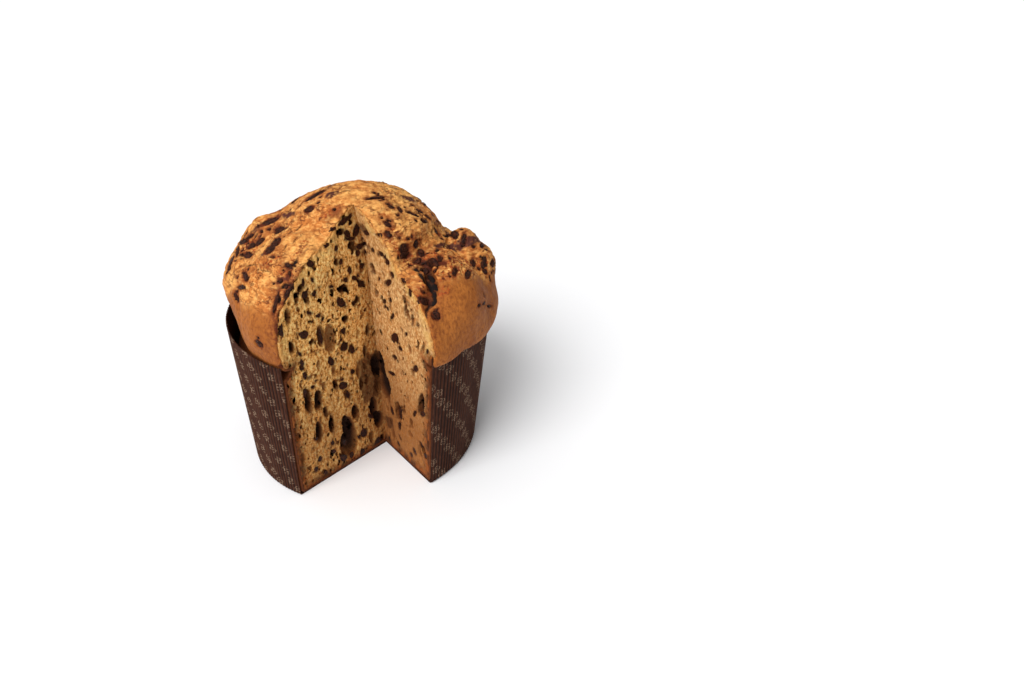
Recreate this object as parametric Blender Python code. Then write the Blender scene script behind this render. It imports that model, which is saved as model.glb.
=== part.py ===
"""A tall chocolate-chip panettone with a wedge cut out, standing in its pleated paper case.

+Z is up and the wedge opens towards -Y. The sizes below are in millimetres, and in a frame
whose z axis runs through the middle of the case's foot; solid() turns them into metres and
moves the origin to under the middle of the whole.
"""

import math
import random

import bmesh
import bpy
import numpy as np
from mathutils import Matrix, Vector, noise

MM = 0.001
GAP = 0.3
MIDDLE = (9.49, 5.55)

# Paper case: a pleated wall on a flat floor, leaning a little to +X as it widens
CASE_HEIGHT = 110.0
CASE_FOOT_RADIUS = 79.5
CASE_RIM_RADIUS = 88.0
CASE_LEAN = 6.0
PLEATS = 184
PLEAT_DEPTH = 0.9
PAPER = 0.5

# Crown: a wide bun, a dome on it and lobes round its shoulder.
# Each lobe is (middle x, y, z, radius, blend with the rest)
CROWN_MIDDLE = (9.3, 1.8, 119.0)
BUN_RADIUS = 88.2
BUN_HALF_HEIGHT = 39.0
BUN_SQUARENESS = 2.7
BUN_FALL = (0.10, 0.08)
LOBES = {
    "dome": (9.8, 2.0, 129.9, 61.0, 6.0),
    "dome left": (-7.1, 4.5, 135.0, 49.5, 5.0),
    "left shoulder": (-43.6, 1.3, 147.0, 24.5, 7.0),
    "left cheek": (-50.6, -14.8, 132.0, 22.5, 8.0),
    "left front lobe": (-27.0, -48.0, 128.0, 31.5, 4.0),
    "left front shoulder": (-16.0, -30.0, 130.0, 46.0, 5.0),
    "right knob": (73.7, 8.8, 134.0, 22.0, 6.0),
    "right lobe": (72.8, -1.6, 116.0, 28.0, 6.0),
    "right front lobe": (58.0, -30.0, 128.0, 32.5, 4.0),
    "back lobe": (16.0, 50.0, 112.0, 38.0, 6.0),
    "back left lobe": (-40.0, 36.0, 128.0, 31.0, 6.0),
}

# Creases pressed into the crown: the points of each, then its depth and half width
CREASES = (
    (((43, -40, 163), (52, -35, 161), (57, -41, 154), (60, -51, 149), (58, -62, 143)), 9.0, 3.0),
    (((70, 22, 157), (63, 8, 162), (58, -10, 165), (52, -28, 164), (47, -34, 164)), 6.5, 4.5),
    (((-66, -36, 140), (-53, -46, 147), (-42, -45, 152), (-31, -41, 158)), 2.2, 3.0),
    (((-62, -42, 146), (-60, -52, 135), (-58, -62, 122)), 3.0, 3.0),
    (((-52, 0, 172), (-42, -8, 176), (-32, -6, 181), (-18, -4, 189)), 2.0, 3.0),
    (((84, 34, 128), (66, 44, 146), (44, 34, 164), (30, 36, 171)), 3.5, 4.5),
    (((-20, 84, 124), (-14, 62, 146), (-2, 40, 166), (6, 34, 174)), 3.5, 4.0),
    (((-74, 36, 128), (-58, 28, 148), (-40, 24, 163), (-22, 26, 173)), 3.0, 4.0),
)

# Folds of the baked skin, wide and fine: (depth, width, height). They deepen up the crown
FOLDS = (1.7, 13.0, 8.0)
RIPPLES = (0.8, 6.0, 5.0)
FOLDS_FROM = 128.0
FOLDS_FULL = 154.0
FOLDS_LEAST = 0.15

# Lower edge of the crown, which hangs over the rim, by turn from -Y towards +X
LIP_TURNS = (-180, -130, -60, -43, -22, 40, 50, 59, 73, 110, 150, 180)
LIP_HEIGHTS = (102, 106, 109, 111, 110.5, 103, 101, 99, 93, 95, 100, 102)
LIP_TUCK = 1.2
LIP_ROUNDING = 3.0
FOOT_ROUNDING = 2.0

# Where the dough shrank from the case wall, on the left
SHRINK = 3.0
SHRINK_TURN = -80.0
SHRINK_SPREAD = 45.0
SHRINK_FROM = 78.0

# Wedge: two upright knife cuts that meet at a corner. The turns are from -Y towards +X
CUT_HEIGHTS = (-6.0, 29.0, 111.0, 165.0, 178.0, 187.0, 200.0)
CUT_CORNER_X = (16.0, 16.0, 16.0, 16.0, 13.0, 10.0, 9.0)
CUT_CORNER_Y = -15.0
CUT_LEFT_TURNS = (-43.0, -41.4, -36.4, -35.5, -34.5, -33.5, -33.0)
CUT_RIGHT_TURNS = (38.0, 38.0, 38.0, 38.0, 39.5, 41.0, 41.0)

# Hollows in the crumb: (along the face from the corner, height, half width, half height)
LEFT_HOLLOWS = (
    (68, 141, 3.6, 7.5), (45, 115, 4.0, 8.5), (38, 109, 5.5, 11.0), (58, 123, 3.4, 4.6),
    (69, 119, 2.8, 6.0), (54, 68, 3.0, 8.0), (62, 70, 2.6, 7.0), (45, 43, 2.8, 7.0),
    (56, 40, 3.2, 8.5), (24, 42, 3.2, 7.0), (32, 20, 8.0, 14.0), (8, 34, 3.0, 8.0),
    (23, 139, 2.6, 3.6), (26, 128, 3.6, 4.4), (38, 84, 2.6, 6.0), (18, 72, 2.4, 6.5),
    (14, 100, 2.4, 5.5), (36, 158, 2.6, 5.0), (18, 168, 3.0, 3.4), (50, 96, 2.4, 5.0),
    (66, 98, 2.2, 6.0), (30, 60, 2.6, 6.0), (70, 30, 2.6, 7.0), (12, 12, 3.0, 6.0),
)
RIGHT_HOLLOWS = (
    (5, 62, 4.5, 17.0), (8, 50, 4.2, 12.0), (24, 100, 3.0, 4.0), (26, 148, 2.6, 5.0),
    (47, 89, 2.8, 4.5), (22, 35, 3.0, 7.5), (40, 128, 2.4, 4.5), (58, 60, 2.6, 6.5),
    (36, 58, 2.4, 5.0), (14, 122, 2.4, 5.0), (52, 116, 2.2, 4.5), (46, 20, 2.8, 6.0),
    (30, 76, 2.2, 4.0), (10, 14, 3.0, 6.0), (60, 34, 2.4, 6.0),
)
HOLLOW_DEPTH = 0.85

# Chocolate chips that stand out of the crust and of the cut faces
CRUST_CHIPS = 56
FACE_CHIPS = 20
FACE_CHIP_REACH = {"left": 66.0, "right": 51.0}
FACE_CHIP_HEIGHTS = (8.0, 150.0)
FACE_CHIP_SIZES = (1.5, 2.6)
CHIP_SIZES = (2.0, 3.4)
CHIPS_FROM = 118.0
CHIPS_FULL = 148.0
CHIPS_LEAST = 0.12
CHIPS_CLEAR_OF_CUT = 0.12
CHIP_SPACING = 9.0
CHIP_STANDS_OUT = 0.25
SEED = 11

# Mesh resolution
COLUMNS = 96
CROWN_ROWS = 25
CORE_LEVELS = (30.0, 62.0, 84.0)
SLOT_FROM = 60.0
SLOT_SIDES = 96
FAR = 130.0
NEAR = 15.0

CRUST_COLOUR = (0.46, 0.19, 0.06, 1.0)
PAPER_COLOUR = (0.07, 0.035, 0.028, 1.0)


def smooth_min(a, b, width):
    """The lower of two fields, rounded where they meet."""
    blend = np.maximum(width - np.abs(a - b), 0.0) / width
    return np.minimum(a, b) - blend * blend * width / 4


def ball_field(points, middle, radius):
    return np.linalg.norm(points - np.array(middle), axis=-1) - radius


def bun_field(points):
    """Below zero inside the wide flattened body of the crown."""
    away = points - np.array(CROWN_MIDDLE)
    across = np.hypot(away[..., 0], away[..., 1]) / BUN_RADIUS
    lean = away[..., 0] * BUN_FALL[0] + away[..., 1] * BUN_FALL[1]
    upward = np.abs(away[..., 2] + lean) / BUN_HALF_HEIGHT
    reach = (across**BUN_SQUARENESS + upward**BUN_SQUARENESS) ** (1 / BUN_SQUARENESS)
    return np.linalg.norm(away, axis=-1) * (1 - 1 / np.maximum(reach, 0.001))


def path_distance(points, path):
    """The distance from each point to a line through the path's points."""
    path = np.array(path, float)
    nearest = np.full(points.shape[:-1], np.inf)
    for start, end in zip(path[:-1], path[1:]):
        run = end - start
        share = np.clip((points - start) @ run / (run @ run), 0, 1)
        foot = start + share[..., None] * run
        nearest = np.minimum(nearest, np.linalg.norm(points - foot, axis=-1))
    return nearest


def crown_field(points):
    """Below zero inside the crown, in millimetres from its surface near it."""
    field = bun_field(points)
    for x, y, z, radius, blend in LOBES.values():
        field = smooth_min(field, ball_field(points, (x, y, z), radius), blend)
    for path, depth, half_width in CREASES:
        field = field + depth * np.exp(-((path_distance(points, path) / half_width) ** 2))
    return field


def crown_reach(direction):
    """How far the crown's surface is from its middle, along a direction."""
    middle = np.array(CROWN_MIDDLE)
    steps = np.arange(NEAR, FAR, 0.25)
    field = crown_field(middle + steps[:, None] * direction)
    return float(steps[int(np.argmax(field > 0))])


def wrinkle(point):
    """Folds of the baked skin: deep on the upper crust, faint on the smooth lower bulge."""
    upper = min(max((point.z - FOLDS_FROM) / (FOLDS_FULL - FOLDS_FROM), FOLDS_LEAST), 1.0)
    total = 0.0
    for start, (depth, width, height) in enumerate((FOLDS, RIPPLES)):
        spot = Vector((point.x / width + 20 * start, point.y / width, point.z / height))
        total += depth * noise.noise(spot)
    return upper * total


def case_radius(z):
    return CASE_FOOT_RADIUS + (CASE_RIM_RADIUS - CASE_FOOT_RADIUS) * z / CASE_HEIGHT


def case_axis(z):
    return CASE_LEAN * z / CASE_HEIGHT


def shrink_at(turn, z):
    """How far the dough stands off the case wall."""
    round_it = math.cos(math.radians((turn - SHRINK_TURN) * 90 / SHRINK_SPREAD))
    if abs(turn - SHRINK_TURN) > SHRINK_SPREAD or z < SHRINK_FROM:
        return 0.0
    return SHRINK * round_it * (z - SHRINK_FROM) / (CASE_HEIGHT - SHRINK_FROM)


def core_reach(turn, z, inset):
    """From the crown's axis out to the bread inside the case, at a turn and a height."""
    direction = np.array([math.sin(math.radians(turn)), -math.cos(math.radians(turn))])
    start = np.array(CROWN_MIDDLE[:2]) - np.array([case_axis(z), 0.0])
    radius = case_radius(z) - PLEAT_DEPTH - PAPER - inset - shrink_at(turn, z)
    along = start @ direction
    return float(-along + math.sqrt(along**2 - start @ start + radius**2))


def column(turn):
    """The points of the bread's outline at one turn, from the foot's edge to near the top."""
    across = np.array([math.sin(math.radians(turn)), -math.cos(math.radians(turn))])
    lip = float(np.interp(turn, LIP_TURNS, LIP_HEIGHTS))
    foot = PAPER + GAP
    outline = [(core_reach(turn, foot, 2 * GAP) - FOOT_ROUNDING, foot)]
    levels = (foot + FOOT_ROUNDING, *CORE_LEVELS, lip - 2 * GAP)
    outline += [(core_reach(turn, z, 2 * GAP), z) for z in levels]
    middle = np.array(CROWN_MIDDLE)
    lowest = math.atan2(lip + LIP_ROUNDING - middle[2], BUN_RADIUS)
    for step in range(CROWN_ROWS):
        tilt = lowest + (math.pi / 2 - lowest) * step / CROWN_ROWS
        direction = np.array([*(across * math.cos(tilt)), math.sin(tilt)])
        reach = crown_reach(direction)
        point = Vector(middle + reach * direction)
        reach += wrinkle(point)
        outline.append((reach * math.cos(tilt), middle[2] + reach * math.sin(tilt)))
        if step == 0:
            outline.insert(-1, (outline[-1][0] - LIP_TUCK, lip))
    spots = []
    for radius, z in outline:
        spots.append((middle[0] + across[0] * radius, middle[1] + across[1] * radius, z))
    return spots


def solid(name, corners, faces, colour=None, roughness=0.8):
    """A mesh object from points in millimetres, with its faces turned outward."""
    mesh = bpy.data.meshes.new(name)
    placed = [((x - MIDDLE[0]) * MM, (y - MIDDLE[1]) * MM, z * MM) for x, y, z in corners]
    mesh.from_pydata(placed, [], faces)
    work = bmesh.new()
    work.from_mesh(mesh)
    bmesh.ops.recalc_face_normals(work, faces=work.faces)
    work.to_mesh(mesh)
    work.free()
    obj = bpy.data.objects.new(name, mesh)
    bpy.context.scene.collection.objects.link(obj)
    if colour:
        material = bpy.data.materials.new(name)
        material.use_nodes = True
        shader = material.node_tree.nodes["Principled BSDF"]
        shader.inputs["Base Color"].default_value = colour
        shader.inputs["Roughness"].default_value = roughness
        shader.inputs["Metallic"].default_value = 0.0
        mesh.materials.append(material)
    return obj


def rings_to_solid(name, rings, bottom, top, **looks):
    """Closes a stack of rings of equal count with a point or a fan below and above."""
    count = len(rings[0])
    corners = [spot for ring in rings for spot in ring] + [bottom, top]
    low = len(corners) - 2
    high = low + 1
    faces = []
    for row in range(len(rings) - 1):
        for i in range(count):
            j = (i + 1) % count
            a = row * count
            b = a + count
            faces.append((a + i, a + j, b + j, b + i))
    last = (len(rings) - 1) * count
    for i in range(count):
        j = (i + 1) % count
        faces.append((j, i, low))
        faces.append((last + i, last + j, high))
    return solid(name, corners, faces, **looks)


def apply_boolean(obj, operation, cutters, solver="EXACT"):
    """Cuts or joins the cutters, then removes them."""
    group = bpy.data.collections.new("cutters")
    bpy.context.scene.collection.children.link(group)
    for cutter in cutters:
        bpy.context.scene.collection.objects.unlink(cutter)
        group.objects.link(cutter)
        cutter.hide_render = True
        cutter.display_type = "WIRE"
    modifier = obj.modifiers.new("shape", "BOOLEAN")
    modifier.operation = operation
    modifier.solver = solver
    modifier.operand_type = "COLLECTION"
    modifier.collection = group
    bpy.context.view_layer.update()
    evaluated = obj.evaluated_get(bpy.context.evaluated_depsgraph_get())
    result = bpy.data.meshes.new_from_object(evaluated)
    obj.modifiers.clear()
    obj.data = result
    for cutter in list(group.objects):
        bpy.data.objects.remove(cutter)
    bpy.data.collections.remove(group)


def keep_largest_piece(obj):
    """Drops the loose scraps that a cut can leave."""
    work = bmesh.new()
    work.from_mesh(obj.data)
    left = set(work.verts)
    pieces = []
    while left:
        piece = {left.pop()}
        edge = list(piece)
        while edge:
            near = [e.other_vert(v) for v in edge for e in v.link_edges]
            edge = [v for v in set(near) if v in left]
            left.difference_update(edge)
            piece.update(edge)
        pieces.append(piece)
    largest = max(pieces, key=len)
    scraps = [v for v in work.verts if v not in largest]
    bmesh.ops.delete(work, geom=scraps, context="VERTS")
    work.to_mesh(obj.data)
    work.free()


def cut_at(z):
    """Corner x and y and the two faces' turns in radians, at a height."""
    corner = float(np.interp(z, CUT_HEIGHTS, CUT_CORNER_X))
    left = math.radians(float(np.interp(z, CUT_HEIGHTS, CUT_LEFT_TURNS)))
    right = math.radians(float(np.interp(z, CUT_HEIGHTS, CUT_RIGHT_TURNS)))
    return corner, CUT_CORNER_Y, left, right


def on_face(side, along, z):
    """A point of a cut face, and the direction out of the bread there."""
    x, y, left, right = cut_at(z)
    turn = left if side == "left" else right
    out = (math.cos(turn), math.sin(turn), 0) if side == "left" else (-math.cos(turn), -math.sin(turn), 0)
    return Vector((x + along * math.sin(turn), y - along * math.cos(turn), z)), Vector(out)


def wedge_cutter():
    rings = []
    for z in CUT_HEIGHTS:
        x, y, left, right = cut_at(z)
        far_left = (x + FAR * math.sin(left), y - FAR * math.cos(left), z)
        far_right = (x + FAR * math.sin(right), y - FAR * math.cos(right), z)
        rings.append([(x, y, z), far_left, far_right])
    low = [sum(values) / 3 for values in zip(*rings[0])]
    high = [sum(values) / 3 for values in zip(*rings[-1])]
    return rings_to_solid("wedge", rings, low, high)


def slot_cutter():
    """The room that the case's wall takes up in the crown where it hangs over the rim."""
    top = CASE_HEIGHT + GAP
    inside = -PLEAT_DEPTH - PAPER - GAP
    rings = []
    for z, beyond in ((SLOT_FROM, GAP), (top, GAP), (top, inside), (SLOT_FROM, inside)):
        radius = case_radius(z) + beyond
        ring = []
        for i in range(SLOT_SIDES):
            turn = 2 * math.pi * i / SLOT_SIDES
            ring.append((case_axis(z) + radius * math.sin(turn), -radius * math.cos(turn), z))
        rings.append(ring)
    corners = [spot for ring in rings for spot in ring]
    faces = []
    for row in range(4):
        for i in range(SLOT_SIDES):
            j = (i + 1) % SLOT_SIDES
            a = row * SLOT_SIDES
            b = (row + 1) % 4 * SLOT_SIDES
            faces.append((a + i, a + j, b + j, b + i))
    return solid("slot", corners, faces)


def lump(name, middle, out, sizes, subdivisions, rough=0.0):
    """An ellipsoid of few sides: sizes across, up and along the direction out."""
    work = bmesh.new()
    bmesh.ops.create_icosphere(work, subdivisions=subdivisions, radius=1.0)
    across = Vector((0, 0, 1)).cross(out)
    across = across.normalized() if across.length > 0.01 else Vector((1, 0, 0))
    upward = out.cross(across)
    turn = Matrix((across, upward, out)).transposed()
    corners = []
    for vertex in work.verts:
        bump = 1 + rough * noise.noise(vertex.co * 1.7 + middle)
        local = Vector(a * b for a, b in zip(vertex.co * bump, sizes))
        corners.append(tuple(middle + turn @ local))
    faces = [[v.index for v in face.verts] for face in work.faces]
    work.free()
    return solid(name, corners, faces)


def hollow_cutters():
    cutters = []
    for side, hollows in (("left", LEFT_HOLLOWS), ("right", RIGHT_HOLLOWS)):
        for along, z, half_width, half_height in hollows:
            middle, out = on_face(side, along, z)
            sizes = (half_width, half_height, half_width * HOLLOW_DEPTH)
            cutters.append(lump("hollow", middle, out, sizes, 1 if half_width < 3.5 else 2, 0.3))
    return cutters


def spaced(spots, spot):
    return all((spot - other).length > CHIP_SPACING for other in spots)


def chips(draw):
    """Chips where the crust shows them, thick on the upper crust, and a few on the cut faces."""
    pieces = []
    spots = []
    middle = Vector(CROWN_MIDDLE)
    while len(spots) < CRUST_CHIPS:
        turn = math.radians(draw.uniform(0, 360))
        tilt = math.asin(draw.uniform(0.05, 0.99))
        out = Vector((math.sin(turn) * math.cos(tilt), -math.cos(turn) * math.cos(tilt), math.sin(tilt)))
        spot = middle + out * crown_reach(np.array(out))
        x, y, left, right = cut_at(spot.z)
        place = math.atan2(spot.x - x, y - spot.y)
        near_cut = left - CHIPS_CLEAR_OF_CUT < place < right + CHIPS_CLEAR_OF_CUT
        near_cut = near_cut and spot.y < y + CHIP_SPACING
        share = (spot.z - CHIPS_FROM) / (CHIPS_FULL - CHIPS_FROM)
        keep = draw.random() < min(max(share, CHIPS_LEAST), 1)
        if near_cut or not keep or not spaced(spots, spot):
            continue
        size = draw.uniform(*CHIP_SIZES)
        spots.append(spot)
        spot = spot + out * (wrinkle(spot) - size * (0.5 - CHIP_STANDS_OUT))
        pieces.append(lump("chip", spot, out, (size, size * draw.uniform(0.6, 1), size * 0.55), 1, 0.5))
    for side in ("left", "right"):
        hollows = LEFT_HOLLOWS if side == "left" else RIGHT_HOLLOWS
        taken = [on_face(side, along, z)[0] for along, z, *_ in hollows]
        placed = 0
        while placed < FACE_CHIPS:
            along = draw.uniform(CHIP_SPACING, FACE_CHIP_REACH[side])
            spot, out = on_face(side, along, draw.uniform(*FACE_CHIP_HEIGHTS))
            if not spaced(taken, spot):
                continue
            taken.append(spot)
            placed += 1
            size = draw.uniform(*FACE_CHIP_SIZES)
            spot = spot - out * size * (0.55 - CHIP_STANDS_OUT)
            pieces.append(lump("chip", spot, out, (size * 0.8, size, size * 0.6), 1, 0.5))
    return pieces


def make_bread():
    columns = [column(-180 + 360 * i / COLUMNS) for i in range(COLUMNS)]
    rings = [list(ring) for ring in zip(*columns)]
    middle = CROWN_MIDDLE
    top = middle[2] + crown_reach(np.array([0.0, 0.0, 1.0]))
    foot = (middle[0], middle[1], PAPER + GAP)
    bread = rings_to_solid(
        "bread", rings, foot, (middle[0], middle[1], top), colour=CRUST_COLOUR, roughness=0.75
    )
    apply_boolean(bread, "DIFFERENCE", [slot_cutter()])
    apply_boolean(bread, "DIFFERENCE", [wedge_cutter()])
    apply_boolean(bread, "DIFFERENCE", hollow_cutters(), solver="MANIFOLD")
    keep_largest_piece(bread)
    apply_boolean(bread, "UNION", chips(random.Random(SEED)), solver="MANIFOLD")
    keep_largest_piece(bread)
    bread.data.shade_smooth()
    bread.data.set_sharp_from_angle(angle=math.radians(40))


def make_case():
    """A zigzag wall, folded outward and inward in turn, that stands on its own floor."""
    count = 2 * PLEATS
    rings = {}
    for name, z, inset in (
        ("foot", 0.0, 0.0), ("rim", CASE_HEIGHT, 0.0),
        ("rim inside", CASE_HEIGHT, PAPER), ("foot inside", PAPER, PAPER),
    ):
        ring = []
        for i in range(count):
            turn = 2 * math.pi * i / count
            radius = case_radius(z) - inset - (PLEAT_DEPTH if i % 2 else 0.0)
            ring.append((case_axis(z) + radius * math.sin(turn), -radius * math.cos(turn), z))
        rings[name] = ring
    case = rings_to_solid(
        "paper_case", list(rings.values()), (0, 0, 0), (0, 0, PAPER), colour=PAPER_COLOUR, roughness=0.6
    )
    apply_boolean(case, "DIFFERENCE", [wedge_cutter()])
    keep_largest_piece(case)


def main():
    for obj in list(bpy.data.objects):
        bpy.data.objects.remove(obj)
    make_bread()
    make_case()


main()
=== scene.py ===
"""Looks of the chocolate-chip panettone: baked crust, open crumb, chocolate and pleated paper.

Lengths are in millimetres, in a frame whose z axis runs through the middle of the case's foot.
placed() turns them into metres and moves them to the part's own frame.
"""

import math
from concurrent.futures import ThreadPoolExecutor
from itertools import product

import bmesh
import bpy
import numpy as np
import openvdb
from mathutils import Matrix, Vector


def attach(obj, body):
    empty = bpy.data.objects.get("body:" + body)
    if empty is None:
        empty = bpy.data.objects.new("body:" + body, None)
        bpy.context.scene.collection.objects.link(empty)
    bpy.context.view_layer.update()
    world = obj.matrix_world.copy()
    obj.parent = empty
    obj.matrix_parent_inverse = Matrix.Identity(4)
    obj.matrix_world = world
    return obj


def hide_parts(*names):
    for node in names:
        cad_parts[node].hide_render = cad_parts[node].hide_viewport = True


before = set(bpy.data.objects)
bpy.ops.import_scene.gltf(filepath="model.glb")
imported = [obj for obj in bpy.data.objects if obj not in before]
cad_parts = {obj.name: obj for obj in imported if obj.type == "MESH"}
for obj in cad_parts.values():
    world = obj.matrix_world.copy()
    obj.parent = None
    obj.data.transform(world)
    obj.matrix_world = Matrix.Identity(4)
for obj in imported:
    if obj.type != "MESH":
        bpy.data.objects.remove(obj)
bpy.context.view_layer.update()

MM = 0.001
# Where the part's own frame has its origin
MIDDLE = (9.49, 5.55)

# Paper case
CASE_HEIGHT = 110.0
CASE_FOOT_RADIUS = 79.5
CASE_RIM_RADIUS = 88.0
CASE_LEAN = 6.0
CASE_ROWS = (0.0, 0.5, 1.6, 4.0, *np.arange(12.0, 93.0, 10.0), 100.0, 106.0, 109.0, 110.0)
PLEATS = 184
PLEAT_DEPTH = 0.9
POINTS_A_PLEAT = 8
PAPER = 0.5
GAP = 0.3

# Print on the paper: the size of a pair of flowers' field, where the pair stand in it, and their petals
MOTIF = (19.0, 15.0)
FLOWER_AT = (2.9, 3.2)
PETAL_AT = 2.1
PETAL_RADIUS = 1.2
PRINT_RADIUS = 84

# Crown of the bread: a wide bun, a dome on it and lobes round its shoulder
CROWN_MIDDLE = (9.3, 1.8, 119.0)
BUN_RADIUS = 88.2
BUN_HALF_HEIGHT = 39.0
BUN_SQUARENESS = 2.7
BUN_FALL = (0.10, 0.08)
LOBES = (
    (9.8, 2.0, 129.9, 61.0, 6.0),
    (-7.1, 4.5, 135.0, 49.5, 5.0),
    (-43.6, 1.3, 147.0, 24.5, 7.0),
    (-50.6, -14.8, 132.0, 22.5, 8.0),
    (-27.0, -48.0, 128.0, 31.5, 4.0),
    (-16.0, -30.0, 130.0, 46.0, 5.0),
    (77.6, 8.8, 129.3, 20.3, 6.0),
    (75.3, 10.0, 148.6, 9.5, 6.0),
    (71.4, -1.6, 116.0, 27.3, 6.0),
    (58.0, -30.0, 128.0, 32.5, 4.0),
    (16.0, 50.0, 112.0, 38.0, 6.0),
    (-40.0, 36.0, 128.0, 31.0, 6.0),
    (-33.0, -45.0, 115.0, 25.9, 4.0),
    (-43.0, -34.0, 116.0, 23.5, 4.0),
    (-22.0, -54.0, 115.0, 26.0, 4.0),
    (50.0, -49.0, 112.0, 26.0, 4.0),
    (-50.5, 2.5, 165.5, 7.0, 4.0),
)
# Creases of the crown: the points of a path, depth and half width. The first two are deep
CREASES = (
    (((43, -40, 163), (52, -35, 161), (57, -41, 154), (60, -51, 149), (58, -62, 143)), 9.0, 3.0),
    (((70, 22, 157), (63, 8, 162), (58, -10, 165), (52, -28, 164), (47, -34, 164)), 6.5, 4.5),
    (((-66, -36, 140), (-53, -46, 147), (-42, -45, 152), (-31, -41, 158)), 2.2, 3.0),
    (
        ((-60, -45, 149), (-59, -51, 145), (-58.5, -56, 140),
         (-59, -58, 134), (-60, -57, 127), (-60, -54, 117)),
        3.4, 2.4,
    ),
    (((-52, 0, 172), (-42, -8, 176), (-32, -6, 181), (-18, -4, 189)), 2.0, 3.0),
    (((-79, 14, 112), (-78, -14, 113), (-71, -36, 115)), 5.0, 13.0),
    (((97, 12, 121), (98, -8, 121), (96, -22, 118)), 2.5, 9.5),
    (((84, 34, 128), (66, 44, 146), (44, 34, 164), (30, 36, 171)), 3.5, 4.5),
    (((-20, 84, 124), (-14, 62, 146), (-2, 40, 166), (6, 34, 174)), 3.5, 4.0),
    (((-74, 36, 128), (-58, 28, 148), (-40, 24, 163), (-22, 26, 173)), 3.0, 4.0),
)
LIP_TURNS = (-180, -110, -90, -60, -43, -22, 20, 42, 50, 59, 73, 110, 150, 170, 180)
LIP_HEIGHTS = (111.5, 111.5, 107, 106, 104, 104.5, 103, 102.5, 100.6, 98.4, 93.5, 95, 100, 108, 111.5)
CORE_TOP = 100.0
SHRINK = 7.0
SHRINK_TURN = -80.0
SHRINK_SPREAD = 45.0
SHRINK_FROM = 78.0
CORE_DIP = 10.0
CORE_DIP_TURN = -78.0
CORE_DIP_SPREAD = 24.0
# Slot that the case's wall stands in: how far inside the wall's outer side its middle is, half width
SLOT_INSET = 0.7
SLOT_HALF_WIDTH = 1.3

# Upper edge of the crust's smooth lower band
SMOOTH_TURNS = (-180, -75, -62, -36, 36, 48, 56, 66, 80, 110, 180)
SMOOTH_HEIGHTS = (124, 124, 141, 146, 150, 153, 152, 146, 133, 125, 124)
# Crags on the shoulder
CRAGS_MIDDLE = (68, -6, 152)
CRAGS_REACH = 24

# Shells of crust and crumb, their outer boxes, and the lattices that they are worked out on
CRUST_THICKNESS = 1.7
CRUST_IN_CREASES = 5.5
CREASE_REACH = 50
CREASE_CLEARANCE = 14.0
CRUMB_OVERLAP = 0.4
CRUMB_DEPTH = 14.0
CRUST_BOX = ((-86, -90, -4), (106, 96, 196))
CRUMB_BOXES = (((-66, -92, -1), (20, 12, 191)), ((10, -80, -1), (76, 12, 191)))
CRUST_VOXEL = 0.75
CRUMB_VOXEL = 0.6
HIDDEN_CELL = 5.0
BLOCK = 4
MOST_FACES = 190000
FAR = 9.0

# Wedge: two upright knife cuts that meet at a corner
CUT_HEIGHTS = (-6.0, 29.0, 111.0, 165.0, 178.0, 187.0, 200.0)
CUT_CORNER_X = (16.0, 16.0, 16.0, 16.0, 13.0, 10.0, 9.0)
CUT_CORNER_Y = -15.0
CUT_LEFT_TURNS = (-43.0, -41.4, -36.4, -35.5, -34.5, -33.5, -33.0)
CUT_RIGHT_TURNS = (38.0, 38.0, 38.0, 38.0, 39.5, 41.0, 41.0)

# Large holes of the crumb: along the face from the corner, height, half width, half height
LEFT_HOLES = (
    (68, 141, 3.0, 6.5), (45, 115, 4.0, 8.5), (38, 109, 5.5, 12.0), (58, 123, 2.4, 3.6),
    (69, 119, 2.3, 5.5), (54, 68, 2.8, 8.0), (62, 70, 2.4, 7.0), (45, 43, 2.4, 7.0),
    (56, 40, 2.8, 7.5), (24, 42, 3.0, 7.0), (32, 20, 8.0, 14.0), (8, 34, 3.0, 8.0),
    (38, 84, 2.2, 5.0), (18, 72, 1.8, 5.5), (14, 100, 1.8, 5.0), (50, 96, 1.8, 4.0),
    (66, 98, 1.6, 5.0), (30, 60, 2.0, 5.0), (70, 30, 2.4, 6.0), (12, 12, 3.0, 6.0),
)
RIGHT_HOLES = (
    (5, 62, 4.0, 17.0), (8, 50, 4.0, 12.0), (24, 100, 1.6, 3.0), (22, 35, 2.4, 7.5),
    (58, 60, 2.2, 6.5), (36, 58, 1.6, 4.0), (52, 116, 1.4, 4.0), (46, 20, 2.8, 6.0),
    (30, 76, 1.4, 3.0), (10, 14, 3.0, 6.0), (60, 34, 2.4, 6.0),
)
HOLES = (LEFT_HOLES, RIGHT_HOLES)
WIDE_HOLE = 5
# The left and the right cut face: name, unevenness, and painted shade low down and at the corner
CRUMB_NAMES = ("crumb_left", "crumb_right")
ROUGHNESS = (1.0, 0.6)
LOW_SHADE = (0.6, 0.9)
CORNER_SHADE = (0.6, 0.0)

# Camera: position, pitch down, roll, focal length and picture's size in pixels, sensor
CAMERA_AT = np.array((107.6, -530.5, 427.5))
PITCH = 0.585034
ROLL = -0.0088009
FOCAL = 919.01
PICTURE = (1024, 683)
SENSOR = 36.0
# A mark's size for each pixel where the skin faces the camera, and the most it stretches elsewhere
PIXEL = 0.65
MOST_STRETCH = 2.6

# Chips: thickness in the crust and in the crumb, the share of the seen size that the crumb's take,
# the depth of pits, and how far chips may stand out of the crust and out of a cut face's outer edge
CHIP_THICKNESS = 1.4
CRUMB_CHIP_THICKNESS = 1.6
CRUMB_CHIP_SHARE = 0.82
PIT_DEPTH = 5.5
CRUST_CHIP_LIMIT = 1.3
CUT_CHIP_LIMIT = 0.2
# How many marks are placed by chance
CRUST_SPECKS = 110
CHIPS_BEHIND = 80
SPECKS_BEHIND = 70
LOW_CRUMB_CHIPS = 22
CRUMB_SPECKS = 40

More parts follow.
